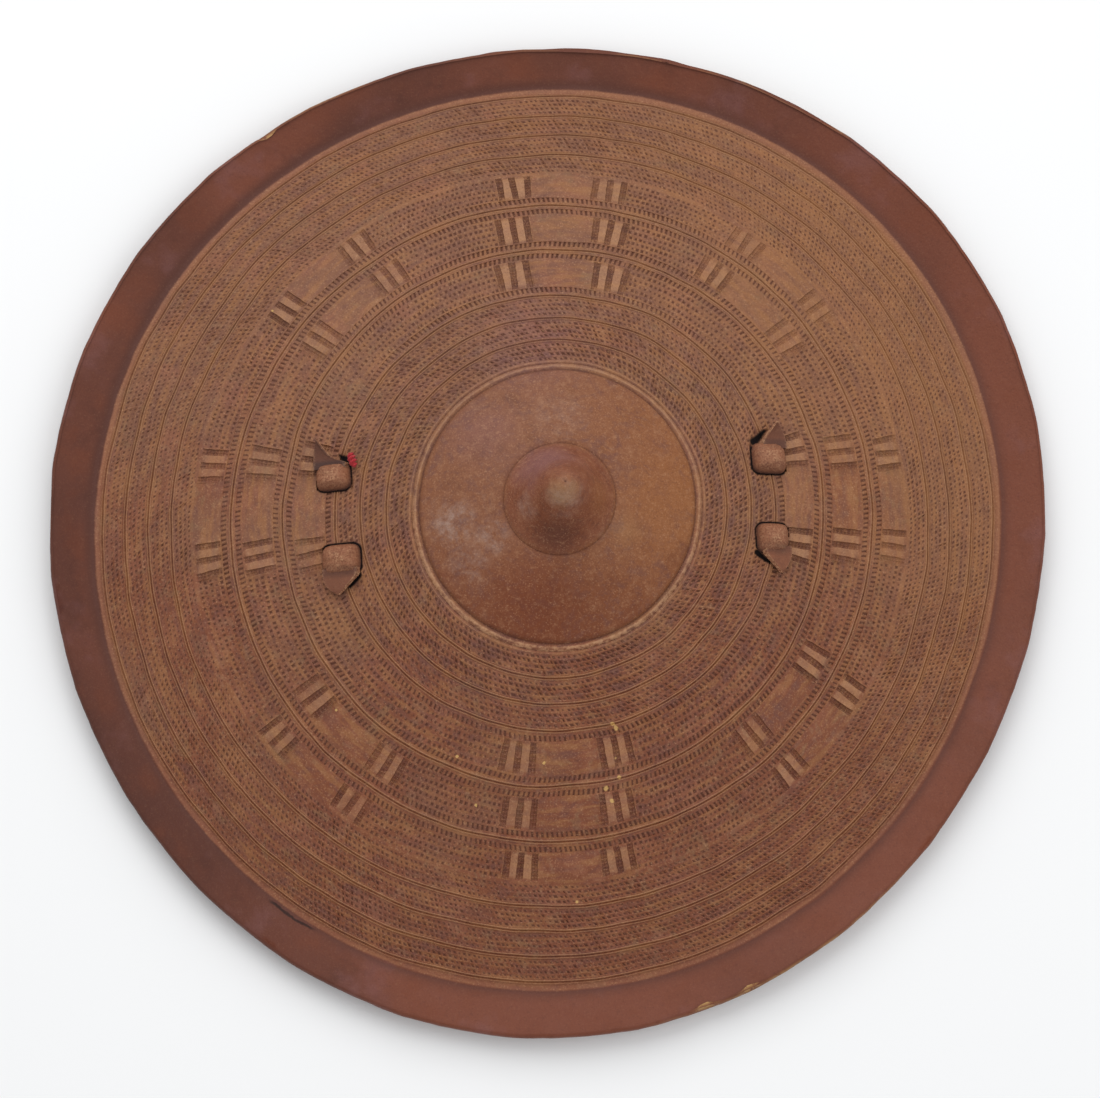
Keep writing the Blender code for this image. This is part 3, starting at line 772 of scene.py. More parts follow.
    def band(self, inner, outer, aims):
        """A band of plain panels, bars and dotted fields; returns its lower and upper rings."""
        t = self.t
        radius = (inner + outer) / 2
        patches = []
        group = t.panel_width / 2 + 2 * t.bar_pitch + t.bar_width + LAND
        for i, aim in enumerate(aims):
            centre = math.radians(aim)
            following = math.radians(aims[(i + 1) % len(aims)])
            if following < centre:
                following += TURN
            for side in (-1, 1):
                order = (2, 1, 0) if side < 0 else (0, 1, 2)
                if side > 0:
                    patches.append((centre, self.panel(centre, radius, inner, outer)))
                for k in order:
                    reach = t.panel_width / 2 + LAND / 2 + k * t.bar_pitch + t.bar_width / 2
                    reach += 0.0003 * (noise.random() - 0.5)
                    middle = centre + side * reach / radius
                    tilt = 1.0 * (noise.random() - 0.5)
                    patches.append((middle, self.bar(middle, radius, inner, outer, tilt)))
            start = centre + group / radius
            stop = following - group / radius
            patches.append(((start + stop) / 2, self.dotted(start, stop, radius, inner, outer)))
        lower = []
        upper = []
        for index, (_, columns) in enumerate(patches):
            following = patches[(index + 1) % len(patches)][1]
            if len(columns[-1]) == len(following[0]):
                for k in range(len(columns[-1]) - 1):
                    self.skin.face(columns[-1][k], columns[-1][k + 1], following[0][k + 1], following[0][k])
            else:
                self.skin.seam(columns[-1], following[0])
            for column in columns:
                lower.append(self.direction(column[0]))
                upper.append(self.direction(column[-1]))
        return self.in_order(lower), self.in_order(upper)

    def direction(self, index):
        """A point with its direction round the middle."""
        place = self.skin.points[index] + self.form.origin
        return math.atan2(place.y, place.x) % TURN, index

    def in_order(self, ring):
        """A ring turned so that its directions rise from its first point."""
        lowest = min(range(len(ring)), key=lambda i: ring[i][0])
        return ring[lowest:] + ring[:lowest]

    def panel_bands(self):
        """The three bands of panels with ticks and a scored line between."""
        form = self.form
        t = self.t
        for i in range(3):
            line = form.bands + i * self.s.band_pitch
            inner = line + TICK_STRIP
            outer = line + self.s.band_pitch - TICK_STRIP
            last = i == 2
            if last:
                outer = form.outer_belts - 0.0001
            columns = round(TURN * (line + 0.003) / t.tick_pitch)
            start, stop = TICKS_AFTER_LINE
            self.ticks(line + start, line + stop, columns, 0.25 if i != 1 else -0.2)
            lower, upper = self.band(inner, outer, INNER_PANEL_ANGLES if i == 0 else PANEL_ANGLES)
            self.join(lower)
            self.last = upper
            if not last:
                columns = round(TURN * (outer + 0.002) / t.tick_pitch)
                start, stop = TICKS_AFTER_BAND
                self.ticks(outer + start, outer + stop, columns, -0.25 if i != 1 else 0.2)
                self.line(line + self.s.band_pitch, self.jittered(columns, 0.02))

    def rim(self):
        """The valley, the plain rim and its cut edge."""
        form = self.form
        directions = turns(RIM_COLUMNS)
        for offset, depth, stain in VALLEY_STEPS:
            self.join(self.ring(form.valley + offset, directions, depth, stain))
        for share in RIM_RINGS:
            self.join(self.ring(form.valley + self.s.rim_width * share, directions))
        chip_turns = [math.atan2(y, x) for x, y in CHIPS]
        lip = self.s.lip_thickness
        for inset, drop, raw in ((0.0011, 0.0, 0.0), (0.0007, 0.0001, 0.3), (0.0003, 0.0006, 0.9),
                                 (0.0, 0.4 * lip, 0.8), (0.0, 0.8 * lip, 0.6), (0.0004, lip, 0.2)):
            ring = []
            for turn in directions:
                x = math.cos(turn) * 0.5
                y = math.sin(turn) * 0.5
                step = 0.00016 * wander(x, y, 0.014, 31.0)
                bare = max(strength * facing(turn, math.radians(degrees), math.radians(spread))
                           for degrees, spread, strength in BARE_EDGES)
                bare *= smooth_step(-0.35, 0.15, wander(x, y, 0.03, 37.0))
                chip = max(facing(turn, aim, CHIP_SPREAD) for aim in chip_turns)
                slant = 0.0012 * max(0.0, math.cos(turn - math.radians(75))) ** 4
                radius = (form.edge - inset) * chord_cut(turn) + step
                radius -= chip * CHIP_BITE if drop < lip / 2 else 0
                radius -= slant * (1 - drop / lip)
                top = self.surface(form.edge, turn, 0)
                place = form.place(radius, turn, top.z - drop - chip * CHIP_DROP * (1 - drop / lip))
                edge_raw = max(raw * bare, chip if drop < lip / 2 else 0)
                ring.append((turn, self.skin.point(self.inside(place), 0.0, edge_raw)))
            self.join(ring)

    def back_ring(self, radius, columns):
        """Ring of the back, set in from the front by the hide's thickness along its slope."""
        step = 0.0005
        rise = (self.form.height(radius + step) - self.form.height(abs(radius - step))) / (2 * step)
        run = math.hypot(rise, 1)
        inward = max(0.0005, radius + self.s.thickness * rise / run)
        height = self.form.height(radius) - self.s.thickness / run
        ring = []
        for turn in turns(columns):
            x = inward * math.cos(turn)
            y = inward * math.sin(turn)
            bump = 0.0002 * wander(x, y, 0.010, 41.0)
            ring.append((turn, self.back_point(self.form.place(inward, turn, height + bump), 0.2)))
        return ring

    def back_point(self, place, stain):
        """A point of the back, told from the front by its negative punch."""
        return self.skin.point(place, stain, 0.0, -1.0)

    def level_ring(self, radius, height, stain):
        """Ring of the back at one height."""
        return [(turn, self.back_point(self.form.place(radius, turn, height), stain))
                for turn in turns(BACK_COLUMNS)]

    def back(self):
        """The plain back: flared rim, flat foot, hollow field and hollow boss."""
        form = self.form
        foot = self.s.foot_width / 2
        columns = BACK_COLUMNS
        lip = form.height(form.edge) - self.s.lip_thickness
        outer = form.valley + foot
        for share in (0.7, 0.35):
            radius = outer + (form.edge - outer) * share
            self.join(self.level_ring(radius, lip * share, 0.1))
        for radius, height in ((outer + 0.0006, 0.0002), (outer, 0.0), (form.valley - foot, 0.0)):
            self.join(self.level_ring(radius, height, 0.3))
        start = form.valley - 2 * self.s.foot_width
        for k in range(16):
            self.join(self.back_ring(start + (form.field_start - start) * k / 15, columns))
        for share in (0.8, 0.5, 0.2):
            self.join(self.back_ring(self.s.boss_radius + self.s.disc_width * share, columns))
        for share in (1.1, 0.95, 0.85, 0.7, 0.5):
            self.join(self.back_ring(self.s.boss_radius * share, BOSS_BACK_COLUMNS))
        top = self.back_point(form.place(0, 0, form.height(0) - self.s.thickness), 0.3)
        for i in range(BOSS_BACK_COLUMNS):
            self.skin.face(top, self.last[i][1], self.last[(i + 1) % BOSS_BACK_COLUMNS][1])

    def build(self):
        """The whole hide, front to back."""
        form = self.form
        s = self.s
        noise.seed_set(11)
        self.boss_and_disc()
        for i, columns in enumerate(INNER_BELT_DOTS):
            self.belt(form.field_start + i * s.inner_pitch, s.inner_pitch, columns)
        self.panel_bands()
        for i, columns in enumerate(OUTER_BELT_DOTS):
            self.belt(form.outer_belts + i * s.outer_pitch, s.outer_pitch, columns)
        self.rim()
        self.back()
        return self.skin.mesh("tooled_hide")


def add_piece(name, mesh, material, slot_name, *nodes):
    """Link a finished mesh as a piece that rides on the shield and stands for CAD nodes."""
    mesh.materials.append(material)
    piece = bpy.data.objects.new(name, mesh)
    bpy.context.scene.collection.objects.link(piece)
    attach(piece, "root")
    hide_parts(*nodes)
    return piece


class Value:
    """A socket of a material's nodes that takes part in Python expressions."""

    def __init__(self, nodes, socket):
        self.nodes = nodes
        self.socket = socket

    def maths(self, operation, first, second=None):
        """A Math node on one or two values."""
        inputs = {0: first}
        if second is not None:
            inputs[1] = second
        return self.nodes.add("ShaderNodeMath", {"operation": operation}, inputs)

    def __add__(self, other):
        return self.maths("ADD", self, other)

    def __radd__(self, other):
        return self.maths("ADD", other, self)

    def __sub__(self, other):
        return self.maths("SUBTRACT", self, other)

    def __rsub__(self, other):
        return self.maths("SUBTRACT", other, self)

    def __mul__(self, other):
        return self.maths("MULTIPLY", self, other)

    def __rmul__(self, other):
        return self.maths("MULTIPLY", other, self)

    def __truediv__(self, other):
        return self.maths("DIVIDE", self, other)

    def power(self, exponent):
        return self.maths("POWER", self, exponent)

    def size(self):
        return self.maths("ABSOLUTE", self)

    def most(self, other):
        return self.maths("MAXIMUM", self, other)

    def least(self, other):
        return self.maths("MINIMUM", self, other)

    def between(self, low, high):
        """0 at low and 1 at high, eased between and held outside."""
        inputs = {"Value": self, "From Min": low, "From Max": high}
        return self.nodes.add("ShaderNodeMapRange", {"interpolation_type": "SMOOTHSTEP"}, inputs)


# Places of the Mix node's colour sockets
MIX_FIRST = 6
MIX_SECOND = 7
MIX_COLOUR = 2


class Nodes:
    """Builds one material's node tree."""

    def __init__(self, name):
        self.material = bpy.data.materials.new(name)
        self.material.use_nodes = True
        self.tree = self.material.node_tree
        self.tree.nodes.clear()
        self.coordinates = self.add("ShaderNodeTexCoord", {}, {}, "Object")

    def add(self, kind, settings, inputs, output=0):
        """Add a node: its settings first, then the values or links of its sockets."""
        node = self.tree.nodes.new(kind)
        for key, value in settings.items():
            setattr(node, key, value)
        for key, value in inputs.items():
            if isinstance(value, Value):
                self.tree.links.new(value.socket, node.inputs[key])
            else:
                node.inputs[key].default_value = value
        return Value(self, node.outputs[output])

    def attribute(self, name):
        """A value carried by the mesh's points."""
        return self.add("ShaderNodeAttribute", {"attribute_name": name}, {}, "Fac")

    def clouds(self, size, detail=3.0, roughness=0.55, distortion=0.0, vector=None):
        """Noise whose features are about a size across, from 0 to 1."""
        inputs = {"Vector": vector or self.coordinates, "Scale": 1 / size, "Detail": detail,
                  "Roughness": roughness, "Distortion": distortion}
        return self.add("ShaderNodeTexNoise", {}, inputs, "Fac")

    def cells(self, size, vector=None):
        """Distance to the nearest of scattered points about a size apart."""
        return self.add("ShaderNodeTexVoronoi", {"feature": "F1"},
                        {"Vector": vector or self.coordinates, "Scale": 1 / size}, "Distance")

    def mix(self, first, second, factor):
        """Mix two colours, given as colours or sockets."""
        def ready(shade):
            return shade if isinstance(shade, Value) else (*shade, 1)
        inputs = {"Factor": factor, MIX_FIRST: ready(first), MIX_SECOND: ready(second)}
        return self.add("ShaderNodeMix", {"data_type": "RGBA"}, inputs, MIX_COLOUR)

    def vector(self, operation, first, second=None):
        """Vector maths on two vectors; a length or a distance comes out as a number."""
        inputs = {0: first}
        if second is not None:
            inputs[1] = second
        output = "Value" if operation in ("LENGTH", "DISTANCE", "DOT_PRODUCT") else "Vector"
        return self.add("ShaderNodeVectorMath", {"operation": operation}, inputs, output)

    def away(self, place, vector):
        """Distance from a place."""
        return self.vector("DISTANCE", vector, place)

    def split(self, vector):
        """The three parts of a vector."""
        return [self.add("ShaderNodeSeparateXYZ", {}, {0: vector}, part) for part in ("X", "Y", "Z")]

    def waves(self, turned, times, axis):
        """Cosine of a number of times the direction, measured from an axis."""
        return self.add("ShaderNodeMath", {"operation": "COSINE"}, {0: (turned - axis) * times})

    def rounds(self, flat, form):
        """Radius on the true round, for the middle of the shield and for its rim."""
        x, y, _ = self.split(flat)
        turned = self.add("ShaderNodeMath", {"operation": "ARCTAN2"}, {0: y, 1: x})
        inner = self.vector("LENGTH", flat) / (self.waves(turned, 2.0, form.s.oval_axis) * form.s.oval + 1.0)
        bulge = self.waves(turned, 1.0, form.s.bulge_axis).most(0.0).power(2.0) * form.s.bulge_reach
        corner_reach = form.s.corner_reach * (form.valley / form.edge) ** 9
        corner = self.waves(turned, 3.0, form.s.corner_axis) * corner_reach
        return inner, inner - bulge - corner

    def bump(self, height, distance, strength):
        """A normal raised by a height."""
        return self.add("ShaderNodeBump", {}, {"Height": height, "Distance": distance, "Strength": strength})

    def finish(self, shade, roughness, **other_values):
        """Close the material with a Principled shader."""
        inputs = {"Base Color": shade, "Roughness": roughness, **other_values}
        shader = self.add("ShaderNodeBsdfPrincipled", {}, inputs, "BSDF")
        output = self.tree.nodes.new("ShaderNodeOutputMaterial")
        self.tree.links.new(shader.socket, output.inputs["Surface"])
        return self.material


# Small worn spots of the front as (place from the boss, radius)
NICKS = (
    ((0.0198, -0.0758, 0.0), 0.0009),
    ((0.0211, -0.0772, 0.0), 0.0011),
    ((0.0226, -0.0936, 0.0), 0.0009),
    ((0.0181, -0.0974, 0.0), 0.0011),
    ((0.0203, -0.1017, 0.0), 0.0009),
    ((0.0212, -0.0872, 0.0), 0.0006),
    ((-0.0342, -0.0869, 0.0), 0.0006),
    ((-0.0039, -0.0893, 0.0), 0.0006),
    ((0.0089, -0.1358, 0.0), 0.0006),
    ((-0.1008, 0.0760, 0.0), 0.0006),
    ((-0.0765, -0.0705, 0.0), 0.0006),
    ((-0.0273, -0.1034, 0.0), 0.0005),
)
# Broad tints as (place from the boss, radius, colour, strength)
TINTS = (
    ((-0.0058, 0.0108, 0.0670), 0.0170, "violet", 0.62),
    ((-0.0011, -0.0042, 0.0830), 0.0090, "worn", 0.40),
    # Painted shade on the boss's lower side, which turns away from the lamp
    ((-0.0006, -0.0147, 0.0660), 0.0130, "rim_dark", 0.62),
    ((0.0360, 0.0000, 0.0520), 0.0240, "disc_ochre", 0.50),
    ((0.0120, -0.0010, 0.0660), 0.0105, "disc_ochre", 0.45),
    ((-0.0070, -0.0362, 0.0520), 0.0260, "disc_red", 0.55),
    ((-0.0260, 0.0238, 0.0520), 0.0180, "violet", 0.26),
    ((-0.0380, 0.0470, 0.0470), 0.0330, "purple", 0.16),
    ((-0.0100, 0.0620, 0.0450), 0.0300, "violet", 0.30),
    ((0.0240, -0.0110, 0.0560), 0.0085, "worn", 0.16),
)
# Grey scuffs as (place from the boss, radius, strength)
SCUFFS = (
    ((-0.0372, -0.0077, 0.0523), 0.0120, 0.60),
    ((-0.0238, -0.0136, 0.0563), 0.0090, 0.50),
    ((-0.0123, -0.0048, 0.0672), 0.0070, 0.35),
    ((-0.0310, -0.0222, 0.0520), 0.0120, 0.30),
    ((0.0003, 0.0306, 0.0552), 0.0140, 0.16),
    ((0.0010, -0.0060, 0.0810), 0.0120, 0.34),
)
# Crack along the valley at the lower left: middle from the boss, half length, and distance from the middle
CRACK = ((-0.0895, -0.1377, 0.0), 0.0110, 0.1652)
# Radius of a knot's corners in plan, and how far outside them the painted shadow of the gap starts to fade
# and has gone
KNOT_CORNER = 0.0030
GAP_WIDTH = (0.0001, 0.0007)


def hide_material():
    """Dyed, waxed and worn hide, stained in its marks, with painted shade in the valley, round the boss's
    foot, on its lower side, on the rim's upper side and in the knots' gaps, and a painted highlight on the
    lower side of the ridge round the disc.
    """
    c = plain(bpy.context.scene.shield_finish)
    form = Form(settings()[0])
    n = Nodes("tooled_hide")
    raw = n.attribute("raw")
    x, y, _ = n.split(n.coordinates)
    from_boss = n.vector("ADD", n.coordinates, tuple(form.origin))
    flat = n.vector("MULTIPLY", from_boss, (1, 1, 0))
    reach, rim_reach = n.rounds(flat, form)
    broad = n.clouds(0.060, 2.0, 0.6)
    patchy = n.clouds(0.013, 4.0, 0.65)
    grain = n.clouds(0.0018, 3.0, 0.7)
    fleck = n.clouds(0.0006, 2.0, 0.6)
    streak = n.clouds(0.0085, 3.0, 0.6, 1.5)
    marked = n.attribute("stain")
    front = n.attribute("punch").between(-0.9, -0.2)
    punched = n.attribute("punch") + (grain - 0.5) * 0.34 + (fleck - 0.5) * 0.26
    stain = marked.between(0.08, 0.92).most(punched.between(0.28, 0.62) * 0.90)
    ridge = (marked * -1.0).between(0.05, 0.35)
    around = n.vector("MULTIPLY", n.vector("NORMALIZE", flat), (0.020, 0.020, 0))
    along_rings = n.vector("ADD", around, n.add("ShaderNodeCombineXYZ", {}, {"Z": reach}))
    brushed = n.clouds(0.0028, 3.0, 0.65, 0.0, along_rings)

    # The field is paler towards the upper side and redder and darker towards the lower side
    low_side = (y * -4.0 + 0.45 + (broad - 0.5) * 1.6).between(0.15, 0.95)
    field = n.mix(c.field_pale, c.field_red, (low_side * 0.75 + (patchy - 0.5) * 0.9).between(0.0, 0.9))
    field = n.mix(field, c.purple, streak.between(0.52, 0.70) * (0.30 + low_side * 0.16))
    field = n.mix(field, c.olive, (1 - streak).between(0.52, 0.66) * 0.50)
    field = n.mix(field, c.pink, (patchy - streak * 0.4).between(0.26, 0.44) * 0.46)
    field = n.mix(field, c.ochre, (x * 0.85 + y * 0.45).between(0.03, 0.15) * (0.42 + (patchy - 0.5) * 1.2))
    near_disc = 1 - reach.between(0.060, 0.110)
    field = n.mix(field, c.purple, brushed.between(0.50, 0.66) * (0.30 + near_disc * 0.25))
    field = n.mix(field, c.ochre, (1 - brushed).between(0.48, 0.64) * 0.50 + ridge * 0.10)
    field = n.mix(field, c.fleck_pale, ridge * 0.36)
    disc = n.mix(c.disc, c.disc_ochre, (patchy * 0.8 + x * 6.0 - y * 2.0).between(0.30, 0.85))
    # The disc is darker red-brown towards its lower side
    disc = n.mix(disc, c.disc_red, ((y * -16.0 - 0.02) + (patchy - 0.5) * 0.9).between(0.0, 0.8) * 0.78)
    disc = n.mix(disc, c.purple, streak.between(0.48, 0.70) * 0.45)
    disc = n.mix(disc, c.rim_dark, patchy.between(0.52, 0.70) * 0.25)
    mottle = n.clouds(0.0042, 3.0, 0.75)
    disc = n.mix(disc, c.purple, mottle.between(0.50, 0.68) * 0.34)
    disc = n.mix(disc, c.fleck_pale, (1 - mottle).between(0.52, 0.70) * 0.14)
    # The rim darkens with mottling, towards the left and lower left, and towards the top, where the darkening
    # is painted shade on the rim's upper side, which turns away from the lamp
    dark = broad.between(0.40, 0.75) * 0.40 + patchy.between(0.5, 0.8) * 0.30 + y.between(0.02, 0.18) * 0.40
    dark = dark + (x * -1.0).between(0.02, 0.18) * 0.60 + (x + y).between(-0.205, -0.24) * 0.34
    dark = dark - (y - x).between(0.222, 0.242) * 0.46
    rim = n.mix(c.rim, c.rim_dark, dark.between(0.05, 1.1))
    cloudy = n.clouds(0.021, 3.0, 0.6)
    rim = n.mix(rim, c.violet, cloudy.between(0.52, 0.72) * 0.26)
    rim = n.mix(rim, c.disc_red, (1 - cloudy).between(0.52, 0.70) * 0.30)
    boss = n.mix(c.boss, c.disc_red, patchy.between(0.42, 0.68) * 0.6)
    boss = n.mix(boss, c.rim_dark, mottle.between(0.50, 0.66) * 0.34)
    boss = n.mix(boss, c.fleck_pale, (1 - mottle).between(0.54, 0.70) * 0.16)

    disc_share = 1 - reach.between(form.disc_edge - 0.0010, form.disc_edge + 0.0006)
    edge_noise = (patchy - 0.5) * 0.0012
    rim_start = rim_reach + edge_noise
    rim_share = rim_start.between(form.valley - 0.0011, form.valley - 0.0001)
    boss_share = 1 - reach.between(form.s.boss_radius - 0.0022, form.s.boss_radius + 0.0002)
    strip = rim_start.between(form.valley - 0.0040, form.valley - 0.0022)
    field = n.mix(field, c.pink, strip * 0.45)
    shade = n.mix(field, disc, disc_share)
    shade = n.mix(shade, boss, boss_share * 0.8)
    shade = n.mix(shade, rim, rim_share)
    # Painted shadow that the rim casts into the valley, strongest at the upper left
    upper_left = (y - x).between(-0.02, 0.20)
    band = rim_share * (1 - rim_start.between(form.valley + 0.0008, form.valley + 0.0048))
    shade = n.mix(shade, c.rim_dark, band * (0.30 + upper_left * 0.50))

    for place, radius, shade_now, strength in TINTS:
        spread = 1 - (n.away(place, from_boss) + (patchy - 0.5) * 0.012).between(radius * 0.15, radius)
        shade = n.mix(shade, getattr(c, shade_now), spread * strength)
    bloom = n.clouds(0.0052, 3.0, 0.75).between(0.30, 0.75) * (0.55 + grain.between(0.35, 0.65) * 0.45)
    rubbed = 0.0
    for place, radius, strength in SCUFFS:
        spot = (1 - n.away(place, from_boss).between(radius * 0.2, radius)) * strength
        rubbed = spot if rubbed == 0.0 else spot.most(rubbed)
    shade = n.mix(shade, c.scuff, rubbed * bloom * front)

    hidden = 1 - rim_share * 0.85
    shade = n.mix(shade, c.fleck_pale, grain.between(0.52, 0.78) * hidden * 0.24)
    shade = n.mix(shade, c.rim_dark, (1 - grain).between(0.54, 0.78) * 0.30)
    shade = n.mix(shade, c.purple, stain.between(0.0, 0.45) * 0.36)
    shade = n.mix(shade, c.stain, (stain * (0.65 + 0.5 * patchy)).least(1.0) * 0.80)
    shade = n.mix(shade, c.fleck_pale, fleck.between(0.56, 0.72) * hidden * (1 - disc_share * 0.2) * 0.40)
    shade = n.mix(shade, c.rim_dark, (1 - fleck).between(0.56, 0.72) * 0.36)
    # Pale hatching on the ridge round the disc, stronger towards the lower side, where it is a painted
    # highlight on the ridge's wall that faces the lamp
    bright_edge = (reach - form.disc_edge - 0.0017).size().between(0.0004, 0.0012)
    ridge_hatch_and_highlight = (1 - bright_edge) * grain.between(0.40, 0.60) * (0.15 + y.between(0.02, -0.04) * 0.45)
    shade = n.mix(shade, c.fleck_pale, ridge_hatch_and_highlight * front)
    shade = n.mix(shade, c.raw, raw * grain.between(0.30, 0.50) * 0.80)
    for place, radius in NICKS:
        nick = 1 - (n.away(place, flat) + (grain - 0.5) * 0.0016).between(radius * 0.6, radius)
        shade = n.mix(shade, c.raw, nick * front * 0.75)
    middle, half_length, distance = CRACK
    crack = 1 - (rim_reach - distance + (patchy - 0.5) * 0.0035).size().between(0.0002, 0.0007)
    crack = crack * (1 - n.away(middle, flat).between(half_length * 0.7, half_length))
    shade = n.mix(shade, c.gap, crack * front * 0.75)
    # Painted shadow in the gaps round the knots and in their hollows
    gap_shadows = knot_gap_shadows(x, y, edge_noise) * front
    shade = n.mix(shade, c.gap, gap_shadows)
    roughness = 0.60 + (patchy - 0.5) * 0.22 - rim_share * 0.06 - disc_share * 0.08
    roughness = roughness + stain * 0.2 + gap_shadows * 0.4
    surface = n.bump(grain * 0.75 + n.cells(0.0010) * 0.25, 0.00032, 0.6)
    return n.finish(shade, roughness, Normal=surface, **{"Specular IOR Level": 0.20})


def knot_gap_shadows(x, y, edge_noise):
    """Painted shadow in the gap round each knot and in the slanted hollow at its boss-facing corner."""
    knots = made_knots()
    c = math.cos(knots.h.turn)
    s = math.sin(knots.h.turn)
    corner = KNOT_CORNER
    gap_shadows = 0
    for knot in KNOTS:
        side, flank = knot.place
        centre_x, centre_y = knots.plan(*knots.middle(knot))
        u = x - centre_x
        v = y - centre_y
        along = (u * c + v * s) * -side
        across = (v * c - u * s) * flank
        over_along = (along.size() - (knot.width / 2 - corner)).most(0.0)
        over_across = (across.size() - (knot.length / 2 - corner)).most(0.0)
        outside = (over_along * over_along + over_across * over_across).power(0.5) + edge_noise * 0.3
        partner_side = (across * -1).between(-0.0052, -0.0036)
        inner_side = along.between(-knot.width / 2 - 0.0003, -knot.width / 2 + 0.0012)
        gap = 1 - outside.between(corner + GAP_WIDTH[0], corner + GAP_WIDTH[1])
        gap = gap * partner_side * inner_side
        (from_along, from_across), (to_along, to_across), near, far = knot.hollow
        run = (to_along - from_along, to_across - from_across)
        square = run[0] ** 2 + run[1] ** 2
        start_along = along - from_along
        start_across = across - from_across
        share = (start_along * (run[0] / square) + start_across * (run[1] / square)).most(0.0).least(1.0)
        off_along = start_along - share * run[0]
        off_across = start_across - share * run[1]
        off = (off_along * off_along + off_across * off_across).power(0.5) + edge_noise - share * (far - near)
        gap = gap.most(1 - off.between(near * 0.55, near * 1.15))
        gap_shadows = gap if gap_shadows == 0 else gap_shadows.most(gap)
    return gap_shadows


def strap_material():
    """Rough strap leather with painted shade in its folds, at the knots' feet and lower sides and under the
    tips, and pale bare hide at cut edges and on the knots' crowns, partly a painted highlight.
    """
    c = plain(bpy.context.scene.shield_finish)
    n = Nodes("strap_leather")
    stain = n.attribute("stain")
    raw = n.attribute("raw")
    patchy = n.clouds(0.006, 4.0, 0.65)
    grain = n.clouds(0.0011, 4.0, 0.7)
    shade = n.mix(c.strap, c.strap_dark, patchy.between(0.45, 0.75) * 0.30)
    shade = n.mix(shade, c.fleck_pale, grain.between(0.52, 0.75) * 0.25)
    # Painted shade carried by the points: the knots' feet, folds and lower sides, the tips' faces and
    # undersides and the grip's crease
    shade = n.mix(shade, c.strap_dark, stain)
    fleck = n.clouds(0.0006, 2.0, 0.7)
    shade = n.mix(shade, c.strap_dark, (1 - fleck).between(0.54, 0.70) * 0.30)
    # Pale bare hide: the cut edges, rubbed wear on the knots' crowns and a painted highlight towards their
    # middle
    bare = raw * (0.35 + grain.between(0.38, 0.60) * 0.65) * fleck.between(0.36, 0.60)
    shade = n.mix(shade, c.fleck_pale, bare * 0.85)
    rough = 0.66 + (grain - 0.5) * 0.2
    skin = n.bump(grain * 0.7 + fleck * 0.3, 0.0004, 0.8)
    return n.finish(shade, rough, Normal=skin, **{"Specular IOR Level": 0.3})


# Yarn's loose fibres, and the painted shade between its strands
YARN_PALE = (0.72, 0.09, 0.08)
YARN_SHADE = (0.18, 0.006, 0.010)


def yarn_material():
    """Red wool with lighter fibres and painted shade between its strands."""
    c = plain(bpy.context.scene.shield_finish)
    n = Nodes("red_yarn")
    fibre = n.clouds(0.0004, 3.0, 0.7, 1.0)
    shade = n.mix(c.yarn, YARN_PALE, fibre.between(0.48, 0.70) * 0.55)
    shade = n.mix(shade, YARN_SHADE, n.attribute("stain"))
    return n.finish(shade, 0.9, Normal=n.bump(fibre, 0.0001, 0.6), **{"Sheen Weight": 0.08})


class Knots:
    """Places of the knots on the hide, along and across the handle's line."""

    def __init__(self, form, handle):
        self.form = form
        self.h = handle

    def plan(self, along, across):
        """Place in plan, in the row frame."""
        c = math.cos(self.h.turn)
        s = math.sin(self.h.turn)
        x = along * c - across * s
        y = along * s + across * c + self.h.offset
        return x - self.form.origin.x, y - self.form.origin.y

    def middle(self, knot):
        """Middle of a knot, along and across."""
        return self.moved(knot, self.h.spread)

    def moved(self, knot, across, along=0.0):
        """Place beside a knot's side of the handle, moved with the knot by its hand shift."""
        side, flank = knot.place
        share = across / self.h.spread
        return side * (self.h.reach + along) + knot.shift[0] * share, flank * across + knot.shift[1] * share

    def hollow(self, knot):
        """Middle of a knot's hollow in plan, from the boss."""
        side, flank = knot.place
        (from_along, from_across), (to_along, to_across), *_ = knot.hollow
        along, across = self.middle(knot)
        along -= side * (0.6 * from_along + 0.4 * to_along)
        across += flank * (0.6 * from_across + 0.4 * to_across)
        return Vector(self.plan(along, across)) + self.form.origin.xy

    def smooth_point(self, x, y):
        """Point of the smooth front above a place in plan."""
        here = Vector((x, y, 0)) + self.form.origin
        turn = math.atan2(here.y, here.x)
        oval = 1 + self.form.s.oval * math.cos(2 * (turn - self.form.s.oval_axis))
        return Vector((x, y, self.form.height(math.hypot(here.x, here.y) / oval)))

    def on_hide(self, along, across, above):
        """Point at a distance square off the smooth front."""
        step = 0.0005
        x, y = self.plan(along, across)
        east = self.smooth_point(x + step, y) - self.smooth_point(x - step, y)
        north = self.smooth_point(x, y + step) - self.smooth_point(x, y - step)
        return self.smooth_point(x, y) + above * east.cross(north).normalized()


def made_knots():
    """The knots' places for the scene's sizes."""
    form_sizes, _, handle = settings()
    return Knots(Form(form_sizes), handle)


class Knot(NamedTuple):
    """Place, size, tip and hollow of one knot."""

    place: tuple
    shift: tuple
    width: float
    length: float
    edges: tuple
    bends: tuple
    point: float
    reach: float
    curl: float
    dull: float
    hollow: tuple


